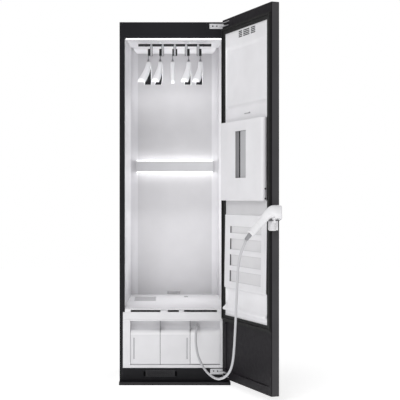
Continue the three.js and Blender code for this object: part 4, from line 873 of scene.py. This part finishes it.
def build_steamer():
    body = tube(along_line(STEAMER_LINE, STEAMER_STOPS))
    block(*NECK_BOX, shape=body)
    piece("steamer_shell", body, "steamer", "white_plastic", finish=steamer_white,
          replaced=("steamer_body",), bevel=0.0016)
    collar = tube([Vector((*(HANDLE_END + HANDLE_RUN * place), radius, radius))
                   for place, radius in COLLAR_RINGS])
    piece("steamer_collar", collar, "steamer", "white_plastic", finish=steamer_white)
    foot = HANDLE_END + HANDLE_RUN * BOOT_START
    boot = tube([Vector((*foot.lerp(BOOT_TIP, share), radius, radius)) for share, radius in BOOT_RINGS])
    piece("steamer_boot", boot, "steamer", "grey_plastic", finish=boot_grey)
    piece("head_seam", block(*SEAM_BOX), "steamer", "grey_plastic", finish=liner_white, bevel=0.0006)
    piece("head_catches", blocks(*CATCH_BOXES), "steamer", "grey_plastic", finish=slot_shade, bevel=0.001)


build_steamer()


# Chamber: one smooth sheet for its walls, with wide rounded corners at the back; the back and the rear
# corners are darker copies of the side walls' white, painted shade
CHAMBER_FRONT = 0.271
CHAMBER_FRONT_PLAN = ((CHAMBER_FRONT, 0.001), (CHAMBER_FRONT - 0.0005, 0.016))
CHAMBER_BACK_HALF = 0.257
CHAMBER_DEPTH = 0.48
CHAMBER_WALL = 0.003
CORNER_RADIUS = 0.04
CORNER_STEPS = 12
OUTLET_LOW = (-0.043, 0.4768, 0.443)
OUTLET_HIGH = (0.032, 0.4802, 0.462)
OUTLET_RIM = 0.001
OUTLET_ROW_LOW = 0.4452
OUTLET_ROW_STEP = 0.0035
OUTLET_DEPTH = 0.0012
DRAIN_CAP_LOW = (0.0535, 0.384, -0.0098)
DRAIN_CAP_HIGH = (0.0765, 0.396, -0.0044)
chamber_white = moulded("chamber_white", cool(0.88), 0.42)
# Painted shade: the back wall and the rear corners are darker copies of the chamber white, and so is the
# ceiling further down
chamber_back_painted_shade = moulded("chamber_back_painted_shade", cool(0.64), 0.45)
chamber_corner_painted_shade = moulded("chamber_corner_painted_shade", cool(0.76, 0.015), 0.45)
outlet_grey = moulded("outlet_grey", cool(0.46), 0.5)
CHAMBER_FINISHES = (chamber_white, chamber_back_painted_shade, chamber_corner_painted_shade)
OUTLET_FINISHES = (outlet_grey, vent_shade)


def build_chamber():
    low, high = (corner[2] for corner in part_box("chamber_wall_left"))
    turns = [math.radians(90) * step / CORNER_STEPS for step in range(CORNER_STEPS + 1)]
    right = [*CHAMBER_FRONT_PLAN] + [
        (CHAMBER_BACK_HALF - CORNER_RADIUS * (1 - math.cos(turn)),
         CHAMBER_DEPTH - CORNER_RADIUS * (1 - math.sin(turn))) for turn in turns]
    shape = bmesh.new()
    plan = outline(shape, right + [(-x, y) for x, y in reversed(right)], closed=False)
    bmesh.ops.translate(shape, vec=(0, 0, low), verts=shape.verts)
    draw_out(shape, plan, Matrix.Translation((0, 0, high - low)))
    back = min(shape.faces, key=lambda face: abs(face.calc_center_median().x))
    # The rear corners and the back get their painted shade
    rear = [face for face in shape.faces if face.calc_center_median().y > CHAMBER_DEPTH - CORNER_RADIUS]
    mark(rear, CHAMBER_FINISHES, chamber_corner_painted_shade)
    mark([back], CHAMBER_FINISHES, chamber_back_painted_shade)
    if back.normal.y > 0:
        bmesh.ops.reverse_faces(shape, faces=shape.faces)
    made = piece("chamber_sheet", shape, "cabinet", "white_plastic", finish=CHAMBER_FINISHES,
                 replaced=("chamber_wall_left", "chamber_wall_right", "chamber_back"), closed=False)
    thicken(made, CHAMBER_WALL)


def build_chamber_fittings():
    """The steam outlet's grille in the back wall and the drain's cap in the floor."""
    grille = block(OUTLET_LOW, OUTLET_HIGH)
    rows = [OUTLET_ROW_LOW + OUTLET_ROW_STEP * row for row in range(5)]
    slice_sheet(grille, rows=rows)
    left, right = OUTLET_LOW[0] + OUTLET_RIM, OUTLET_HIGH[0] - OUTLET_RIM
    for low, high in (rows[0:2], rows[2:4]):
        slot = [face for face in cells_within(grille, left, right, low, high) if face.normal.y < -FACING]
        mark(sink(grille, slot, -OUTLET_DEPTH), OUTLET_FINISHES, vent_shade)
    piece("outlet_grille", grille, "cabinet", "grey_plastic", finish=OUTLET_FINISHES,
          replaced=("steam_outlet_grille",))
    floor_top = Vector((0, 0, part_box("chamber_floor")[1][2]))
    cap = block(Vector(DRAIN_CAP_LOW) + floor_top, Vector(DRAIN_CAP_HIGH) + floor_top)
    piece("drain_cap", cap, "cabinet", "grey_plastic", finish=hook_grey, bevel=0.0012)


build_chamber()
build_chamber_fittings()


# Lower module: tank fronts with a rolled lip, painted shade in the gaps between them and a ledge under the
# rail
BAY_EDGES = (-0.242, -0.0793, 0.0833, 0.246)
BAY_GAP = 0.0012
BAY_LOW = 0.1008
FRONT_Y = 0.006
LIP_TOP = 0.288
LIP_RADIUS = 0.024
LIP_TURN = math.radians(80)
LIP_STEPS = 8
TANK_CHAMFER = 0.004
TANK_SHOULDER = ((0.036, -0.0005), (0.044, 0.002), (0.051, 0.007), (0.056, 0.015), (0.058, 0.024))
TANK_EDGE = 0.0012
WINDOW_X = {"supply": -0.2215, "drain": 0.0675}
WINDOW_HALF = 0.0042
WINDOW_LOW, WINDOW_HIGH = 0.1305, 0.2475
WINDOW_RIM = 0.0006
WINDOW_DEPTH = 0.0018
BIN_CHAMFER = 0.003
BIN_SHOULDER = ((0.027, -0.004), (0.0255, -0.012), (0.02, -0.02))
TRAY_FRONT = 0.0197
TRAY_TOP = 0.262
TRAY_WALL = 0.0025
TRAY_GAPS = (0.0045, 0.0032)
PIVOT_Y, PIVOT_Z = 0.012, 0.106
PIVOT_RADIUS = 0.003
PIVOTS = ((BAY_EDGES[2] + 0.0033, BAY_EDGES[2] + 0.012), (BAY_EDGES[3] - 0.004, BAY_EDGES[3] + 0.0018))
# Painted shade: dark blocks that fill the gaps between the fronts
GAP_SHADE_HALF = 0.0011
GAP_SHADE_FRONT, GAP_SHADE_BACK, GAP_SHADE_TOP = FRONT_Y + 0.0015, 0.03, 0.338
LEDGE_BOX = ((-0.2805, -0.0014, 0.3395), (0.2805, 0.003, 0.3465))
FLOOR_RIBS = (((-0.078, 0.001, 0.3875), (-0.038, 0.012, 0.3965)),
              ((0.022, 0.001, 0.3875), (0.05, 0.012, 0.3965)))
SOCKET_X = 0.124
SOCKET_HEIGHT = 0.306
SOCKET_RADIUS = 0.0085
SOCKET_REST = 0.001
FLANGE_HEIGHT = 0.308
FLANGE_REST = (0.0003, 0.006)
FLANGE_RADII = (0.0105, 0.012)
# Painted highlight: a whiter copy of the front's white for the rolled lips
lip_painted_highlight = moulded("lip_painted_highlight", cool(0.88), 0.36, gloss=0.5)
bin_white = moulded("bin_white", cool(0.85, 0.015), 0.4)
level_window = finishes["clear_window"]
TANK_FINISHES = (liner_white, level_window, lip_painted_highlight)
BIN_FINISHES = (bin_white, lip_painted_highlight)


def build_front(low, chamfer, shoulder, bay):
    """A closed body across a bay: a chamfered foot, a face, a rolled lip and what follows it."""
    left, right = BAY_EDGES[bay] + BAY_GAP, BAY_EDGES[bay + 1] - BAY_GAP
    profile = [(FRONT_Y + chamfer, low), (FRONT_Y, low + chamfer)]
    for step in range(LIP_STEPS + 1):
        turn = LIP_TURN * step / LIP_STEPS
        profile.append((FRONT_Y + LIP_RADIUS * (1 - math.cos(turn)),
                        LIP_TOP - LIP_RADIUS * (1 - math.sin(turn))))
    profile += shoulder
    shape = bmesh.new()
    start = outline(shape, profile)
    for vert, (depth, height) in zip(shape.verts, profile):
        vert.co = (left, depth, height)
    close_loops(shape, start, draw_out(shape, start, Matrix.Translation((right - left, 0, 0))))
    return shape


def mark_lip(shape, kinds):
    """Painted highlight: the rolled lip is a little whiter than the face below, for the light it catches.
    """
    faces = [face for face in cells_within(shape, -1, 1, LIP_TOP - LIP_RADIUS, LIP_TOP)
             if face.calc_center_median().y < FRONT_Y + LIP_RADIUS]
    mark(faces, kinds, lip_painted_highlight)


def build_tank(name, bay):
    _, (_, back, top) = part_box(f"{name}_tank")
    shoulder = [(depth, LIP_TOP + rise) for depth, rise in TANK_SHOULDER]
    shoulder += [(TANK_SHOULDER[-1][0], top), (back, top), (back, BAY_LOW)]
    shape = build_front(BAY_LOW, TANK_CHAMFER, shoulder, bay)
    sides = (WINDOW_X[name] - WINDOW_HALF, WINDOW_X[name] + WINDOW_HALF)
    slice_sheet(shape, sides, (WINDOW_LOW, WINDOW_HIGH))
    window = [face for face in cells_within(shape, *sides, WINDOW_LOW, WINDOW_HIGH)
              if face.calc_center_median().y < FRONT_Y + NEAR]
    bmesh.ops.inset_region(shape, faces=window, thickness=WINDOW_RIM, depth=0.0)
    bmesh.ops.translate(shape, vec=(0, WINDOW_DEPTH, 0), verts=corners(window))
    mark(window, TANK_FINISHES, level_window)
    mark_lip(shape, TANK_FINISHES)
    made = piece(f"{name}_tank_shell", shape, f"{name}_tank", "white_plastic", finish=TANK_FINISHES,
                 replaced=(f"{name}_tank", f"{name}_window"))
    soften = made.modifiers.new("edges", "BEVEL")
    soften.width = TANK_EDGE
    soften.segments = 2
    soften.limit_method = "ANGLE"
    soften.angle_limit = math.radians(40)


def build_bin():
    (_, _, low), (_, back, _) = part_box("steamer_bin")
    shoulder = [(depth, LIP_TOP + rise) for depth, rise in BIN_SHOULDER] + [(BIN_SHOULDER[-1][0], low)]
    shape = build_front(low, BIN_CHAMFER, shoulder, 2)
    mark_lip(shape, BIN_FINISHES)
    piece("bin_front", shape, "steamer_bin", "white_plastic", finish=BIN_FINISHES,
          replaced=("steamer_bin",), bevel=0.001)
    tray = block((BAY_EDGES[2] + TRAY_GAPS[0], TRAY_FRONT, low),
                 (BAY_EDGES[3] - TRAY_GAPS[1], back, TRAY_TOP))
    top = [face for face in tray.faces if face.normal.z > FACING]
    bmesh.ops.inset_region(tray, faces=top, thickness=TRAY_WALL, depth=0.0)
    bmesh.ops.translate(tray, vec=(0, 0, low + TRAY_WALL - TRAY_TOP), verts=corners(top))
    for left, right in PIVOTS:
        rod((left, PIVOT_Y, PIVOT_Z), (right, PIVOT_Y, PIVOT_Z), PIVOT_RADIUS, shape=tray)
    piece("bin_tray", tray, "steamer_bin", "white_plastic", finish=liner_white)


def build_module_details():
    # Near-black blocks in the gaps between the fronts, painted shade
    gap_shades = blocks(*(((edge - GAP_SHADE_HALF, GAP_SHADE_FRONT, BAY_LOW), (edge + GAP_SHADE_HALF, GAP_SHADE_BACK, GAP_SHADE_TOP))
                     for edge in BAY_EDGES[1:3]))
    piece("bay_gap_shade", gap_shades, "cabinet", "grey_plastic", finish=slot_shade)
    piece("rail_ledge", block(*LEDGE_BOX), "cabinet", "white_plastic", finish=liner_white, bevel=0.0012)
    piece("slot_ribs", blocks(*FLOOR_RIBS), "cabinet", "white_plastic", finish=liner_white, bevel=0.001)
    (_, front, _), (_, back, _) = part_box("hose_socket")
    flange = rod(*((SOCKET_X, front + rest, FLANGE_HEIGHT) for rest in FLANGE_REST), *FLANGE_RADII)
    rod((SOCKET_X, front + SOCKET_REST, SOCKET_HEIGHT), (SOCKET_X, back, SOCKET_HEIGHT), SOCKET_RADIUS,
        shape=flange)
    # The flange takes the band's grey, painted shade for the recess it sits in
    piece("socket_flange", flange, "cabinet", "white_plastic", finish=band_painted_shade,
          replaced=("hose_socket",), bevel=0.0008)


build_tank("supply", 0)
build_tank("drain", 1)
build_bin()
build_module_details()


# Base and hinges: finger notches and ribs on the kick cover, screws, caps and straps at the hinges
NOTCH_OFF = 0.004
NOTCH_HALF = 0.0055
NOTCH_REACH = (-0.0012, 0.004)
NOTCH_HEIGHTS = (0.04, 0.064)
RIB_ROWS = 4
RIB_START = 0.007
RIB_STEP = 0.0068
RIB_HEIGHT = 0.0028
RIB_REACH = (-0.001, 0.002)
RIB_MARGIN = 0.012
SCREW_Y = (-0.0072, -0.0046)
SCREW_PLACES = (0.018, 0.04)
SCREW_RADII = (0.003, 0.0042)
SCREW_REST = 0.0014
SCREW_DEPTH = 0.0008
HINGE_LEVELS = {"top": 1.9375, "bottom": 0.0675}
HINGE_CAP_RISES = (-0.0085, 0.004)
HINGE_CAP_RADIUS = 0.0068
HINGE_STRAP_LEVELS = {"top": 1.9365, "bottom": 0.0625}
HINGE_STRAP_BOXES = (((0.208, -0.0102, 0.008), (0.296, -0.009, 0.0122)),
                     ((0.218, -0.0102, -0.0122), (0.296, -0.009, -0.008)))
KNOB_X, KNOB_Y = 0.264, -0.019
KNOB_HEIGHTS = (0.0622, 0.069)
KNOB_RADII = (0.0062, 0.0055)


def build_kick_details():
    (left, face_y, low), (right, _, _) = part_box("kick_cover")
    front, back = (face_y + reach for reach in NOTCH_REACH)
    notches = blocks(*(((x - NOTCH_HALF, front, NOTCH_HEIGHTS[0]), (x + NOTCH_HALF, back, NOTCH_HEIGHTS[1]))
                       for x in (left - NOTCH_OFF, right + NOTCH_OFF)))
    # The finger notches take the grip gap's near black, a painted shadow in the notches
    piece("finger_notches", notches, "cabinet", "dark_plastic", finish=grip_gap_painted_shadow, bevel=0.0018)
    ribs = bmesh.new()
    for row in range(RIB_ROWS):
        height = low + RIB_START + row * RIB_STEP
        block((left + RIB_MARGIN, face_y + RIB_REACH[0], height),
              (right - RIB_MARGIN, face_y + RIB_REACH[1], height + RIB_HEIGHT), shape=ribs)
    piece("cover_ribs", ribs, "cabinet", "dark_plastic", bevel=0.0008)


def build_hinge_details(place):
    level = HINGE_LEVELS[place]
    screws = bmesh.new()
    for x in SCREW_PLACES:
        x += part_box(f"hinge_bracket_{place}")[0][0]
        rod(*((x, y, level) for y in SCREW_Y), *SCREW_RADII, shape=screws)
    for face in list(screws.faces):
        if face.normal.y < -FACING:
            bmesh.ops.inset_region(screws, faces=[face], thickness=SCREW_REST, depth=-SCREW_DEPTH)
    piece(f"hinge_screws_{place}", screws, "cabinet", "dark_plastic", finish=clip_black)
    cap = rod(*((HINGE.x, HINGE.y, level + rise) for rise in HINGE_CAP_RISES), HINGE_CAP_RADIUS)
    piece(f"hinge_cap_{place}", cap, "cabinet", "dark_plastic", finish=clip_black, bevel=0.001)
    straps = blocks(*HINGE_STRAP_BOXES)
    bmesh.ops.translate(straps, vec=(0, 0, HINGE_STRAP_LEVELS[place]), verts=straps.verts)
    piece(f"notch_straps_{place}", straps, "door", "hinge_steel", finish=strap_chrome, bevel=0.0004)


build_kick_details()
build_hinge_details("top")
build_hinge_details("bottom")
hinge_knob = rod(*((KNOB_X, KNOB_Y, height) for height in KNOB_HEIGHTS), *KNOB_RADII)
piece("hinge_knob", hinge_knob, "cabinet", "dark_plastic", finish=clip_black, bevel=0.0012)


# Steamer holder on the door's free edge, and the steamer's sole
HOLDER_LOW, HOLDER_HIGH = 0.848, 0.905
CUP_X, CUP_Y = -0.326, -0.0006
CUP_RADII = (0.024, 0.0165)
CUP_FOOT = ((0.0, 0.9), (0.03, 0.97), (0.08, 1.0))
CUP_GROOVES = (0.22, 0.42, 0.62, 0.82)
CUP_GROOVE_HALF = 0.03
CUP_GROOVE_SHARE = 0.955
CUP_RIM = ((0.94, 0.98), (1.0, 0.94))
CUP_BACK_BOX = ((-0.309, -0.012, HOLDER_LOW + 0.004), (-0.3038, 0.012, HOLDER_HIGH - 0.004))
CUP_SIDE_BOX = ((-0.333, -0.0285, HOLDER_LOW + 0.002), (-0.2983, -0.012, HOLDER_HIGH - 0.002))
CUP_GAP_SHADOW_BOX = ((-0.3115, -0.0427, HOLDER_LOW + 0.003), (-0.2983, -0.0283, HOLDER_HIGH - 0.004))
CUP_STRAP_BOX = ((-0.2985, -0.013, HOLDER_LOW + 0.001), (-0.252, -0.0098, HOLDER_LOW + 0.006))
SOLE_MIDDLE = 0.934
SOLE_BOX = ((STEAMER_X - 0.027, -0.0322, SOLE_MIDDLE - 0.0355),
            (STEAMER_X + 0.027, -0.0285, SOLE_MIDDLE + 0.0355))
SOLE_CORNER = 0.012
SOLE_RIM = 0.004
SOLE_RISE = 0.0008
HOLE_SIDES = (-0.0135, 0.0135)
HOLE_RISES = (-0.0228, -0.0076, 0.0076, 0.0228)
HOLE_Y = (-0.0326, -0.03)
HOLE_RADIUS = 0.0024
# Painted shade: the white cradle's cup is a grey copy of its white, for the shade on it
holder_cup_painted_shade = moulded("holder_cup_painted_shade", cool(0.68), 0.45)
sole_grey = moulded("sole_grey", cool(0.74), 0.35)


def build_holder():
    """The steamer's cradle: a grooved cup on a strap, with a white side and a dark strip; the cup's grey is
    painted shade and the strip a painted shadow in the gap beside it.
    """
    grooves = [(place + step, CUP_GROOVE_SHARE if step == 0 else 1.0) for place in CUP_GROOVES
               for step in (-CUP_GROOVE_HALF, 0, CUP_GROOVE_HALF)]
    frames = []
    for share, grow in (*CUP_FOOT, *grooves, *CUP_RIM):
        place = (CUP_X, CUP_Y, HOLDER_LOW + (HOLDER_HIGH - HOLDER_LOW) * share)
        frames.append(framed(place, (CUP_RADII[0] * grow, 0, 0), (0, CUP_RADII[1] * grow, 0), (0, 0, 1)))
    cup = bmesh.new()
    start = ring(cup)
    close_loops(cup, start, sweep(cup, start, frames))
    block(*CUP_BACK_BOX, shape=cup)
    piece("holder_cup", cup, "door", "white_plastic", finish=holder_cup_painted_shade,
          replaced=("steamer_holder",), bevel=0.0012)
    piece("holder_side", block(*CUP_SIDE_BOX), "door", "white_plastic", finish=steamer_white, bevel=0.0015)
    # A painted shadow: a near-black strip in the gap beside the cradle
    piece("holder_gap_shadow", block(*CUP_GAP_SHADOW_BOX), "door", "dark_plastic", finish=clip_black, bevel=0.0012)
    piece("holder_strap", block(*CUP_STRAP_BOX), "door", "white_plastic", finish=steamer_white, bevel=0.001)


def build_sole():
    """The steam plate: a raised rounded plate with two rows of four outlets."""
    plate = block(*SOLE_BOX)
    upright = [edge for edge in plate.edges if abs(edge.verts[0].co.y - edge.verts[1].co.y) > NEAR]
    bmesh.ops.bevel(plate, geom=upright, offset=SOLE_CORNER, segments=6, profile=0.5, affect="EDGES",
                    material=-1)
    front = [face for face in plate.faces if face.normal.y < -FACING]
    bmesh.ops.inset_region(plate, faces=front, thickness=SOLE_RIM, depth=-SOLE_RISE)
    for rise in HOLE_RISES:
        for side in HOLE_SIDES:
            rod(*((STEAMER_X + side, y, SOLE_MIDDLE + rise) for y in HOLE_Y), HOLE_RADIUS, shape=plate,
                segments=16)
    piece("steam_sole", plate, "steamer", "grey_plastic", finish=sole_grey, replaced=("steam_plate",),
          bevel=0.0012)


build_holder()
build_sole()


# CAD nodes that keep their shape and get a finish of their own
EDGE_FACING = 0.95
SLOPE_FACING = 0.3
FLOOR_LIP_FACING = 0.6
bar_glow = lit("bar_glow", (1.0, 1.0, 1.0), 1.2)
# The door's free edge has its own dark grey, made lighter for the light it catches, a painted sheen; on the
# plinth's front slope this grey is only painted sheen
edge_grey_and_painted_sheen = powder_coat("edge_grey_and_painted_sheen", (0.052, 0.05, 0.054), 0.4)
for name, own_finish in (
    ("door_frame", moulded("door_black", (0.007, 0.0056, 0.008), 0.5, gloss=0.15)),
    ("kick_cover", moulded("cover_black", (0.03, 0.029, 0.032), 0.45, gloss=0.25)),
    ("chamber_floor", moulded("floor_white", cool(0.69), 0.42)),
    # Painted shade: the ceiling is a darker copy of the chamber white
    ("chamber_ceiling", moulded("ceiling_painted_shade", cool(0.67), 0.42)),
    ("lint_filter", moulded("filter_grey", cool(0.47), 0.5)),
    ("steamer_button", steamer_white),
    ("light_bar_cover", moulded("bar_cover", (0.64, 0.64, 0.655), 0.45)),
    ("light_bar_diffuser", bar_glow),
):
    frame["nodes"][name].data.materials[0] = own_finish


def paint_faces(name, finish, chosen):
    """Gives a second finish to the faces of a CAD node whose normals are chosen."""
    mesh = frame["nodes"][name].data
    mesh.materials.append(finish)
    for polygon in mesh.polygons:
        if chosen(polygon.normal):
            polygon.material_index = 1


# Painted sheen, partly the edge's own grey, on the door's free edge
door_edge = DOOR.to_3x3() @ Vector((-1, 0, 0))
for name in ("door_frame", "door_front_panel"):
    paint_faces(name, edge_grey_and_painted_sheen, lambda normal: normal.dot(door_edge) > EDGE_FACING)
# Painted sheen on the plinth's front slope
paint_faces("plinth", edge_grey_and_painted_sheen, lambda normal: min(-normal.y, normal.z) > SLOPE_FACING)
paint_faces("chamber_floor", steamer_white, lambda normal: normal.y < -FLOOR_LIP_FACING)
paint_faces("light_bar_diffuser", finishes["white_plastic"], lambda normal: abs(normal.x) > FACING)


# Header lamp: a strip with a softer underside, behind a thin black lip
LAMP_INSET = (0.006, 0.001, -0.002)
LAMP_LIP = 0.0037
HEADER_LIP_REACH = 0.0008
HEADER_LIP_HEIGHT = 0.004


def build_header_lamp():
    low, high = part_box("ceiling_light")
    kinds = (finishes["lamp_diffuser"], lit("lamp_underside", (0.8, 0.8, 0.8), 0.12))
    strip = block([start + inset for start, inset in zip(low, LAMP_INSET)],
                  (high[0], high[1], high[2] - LAMP_LIP))
    mark([face for face in strip.faces if face.normal.z < -FACING], kinds, kinds[1])
    piece("lamp_strip", strip, "cabinet", "lamp_diffuser", finish=kinds, replaced=("ceiling_light",))
    lip = block((low[0], low[1] - HEADER_LIP_REACH, high[2] - HEADER_LIP_HEIGHT), high)
    piece("header_lip", lip, "cabinet", "black_paint", bevel=0.0006)


build_header_lamp()


# Studio: a pale floor, a white surround and soft lamps
def build_studio():
    mesh = bpy.data.meshes.new("studio_floor")
    shape = bmesh.new()
    bmesh.ops.create_grid(shape, x_segments=1, y_segments=1, size=9.0)
    shape.to_mesh(mesh)
    shape.free()
    floor = bpy.data.objects.new("studio_floor", mesh)
    scene.collection.objects.link(floor)
    finish = Finish("studio_white")
    finish.set(Base_Color=(0.9, 0.9, 0.9, 1), Roughness=0.9, Emission_Color=(1, 1, 1, 1),
               Emission_Strength=0.6)
    mesh.materials.append(finish.material)

    world = bpy.data.worlds.new("studio_world")
    scene.world = world
    world.use_nodes = True
    nodes, links = world.node_tree.nodes, world.node_tree.links
    background = nodes["Background"]
    seen = nodes.new("ShaderNodeLightPath")
    strength = nodes.new("ShaderNodeMapRange")
    strength.inputs["To Min"].default_value = 0.5
    strength.inputs["To Max"].default_value = 1.0
    links.new(seen.outputs["Is Camera Ray"], strength.inputs["Value"])
    background.inputs["Color"].default_value = (1, 1, 1, 1)
    links.new(strength.outputs["Result"], background.inputs["Strength"])


def soft_lamp(name, place, target, size, power, spread=180):
    """A softbox that is itself out of sight, so that only its light shows."""
    data = bpy.data.lights.new(name, "AREA")
    data.shape = "RECTANGLE"
    data.size, data.size_y = size
    data.energy = power
    data.spread = math.radians(spread)
    lamp = bpy.data.objects.new(name, data)
    lamp.visible_camera = lamp.visible_glossy = False
    lamp.location = place
    lamp.rotation_euler = (Vector(target) - Vector(place)).to_track_quat("-Z", "Y").to_euler()
    scene.collection.objects.link(lamp)


build_studio()
soft_lamp("front_softbox", (-1.2, -3.9, 3.2), (0, 0, 1.0), (2.4, 2.0), 66)
soft_lamp("ceiling_fill", (0, 0.2, 1.4), (0, 0.2, 2.0), (0.4, 0.3), 0.22)
soft_lamp("floor_fill", (0, 0.2, 0.95), (0, 0.2, 0.0), (0.4, 0.3), 0.4)
soft_lamp("chamber_back_fill", (0, 0.45, 1.2), (0, -1, 1.2), (0.46, 1.35), 1.6)
for name, corner, rise in (("bar_lamp_up", 1, 1), ("bar_lamp_down", 0, -1)):
    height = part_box("light_bar_cover")[corner][2] + rise * 0.002
    soft_lamp(name, (0, 0.45, height), (0, 1.05, height + rise), (0.44, 0.006), 0.08)
soft_lamp("chamber_top_fill", (0, 0.02, 1.46), (0, 0.48, 1.88), (0.5, 0.2), 0.68, 80)
soft_lamp("hanger_front_fill", (0, -1.1, 1.74), (0, 0.48, 1.84), (0.4, 0.25), 0.26, 36)
soft_lamp("chamber_low_fill", (0, 0.03, 0.58), (0, 1, 0.56), (0.5, 0.2), 0.4, 110)
scene.view_settings.view_transform = "Standard"
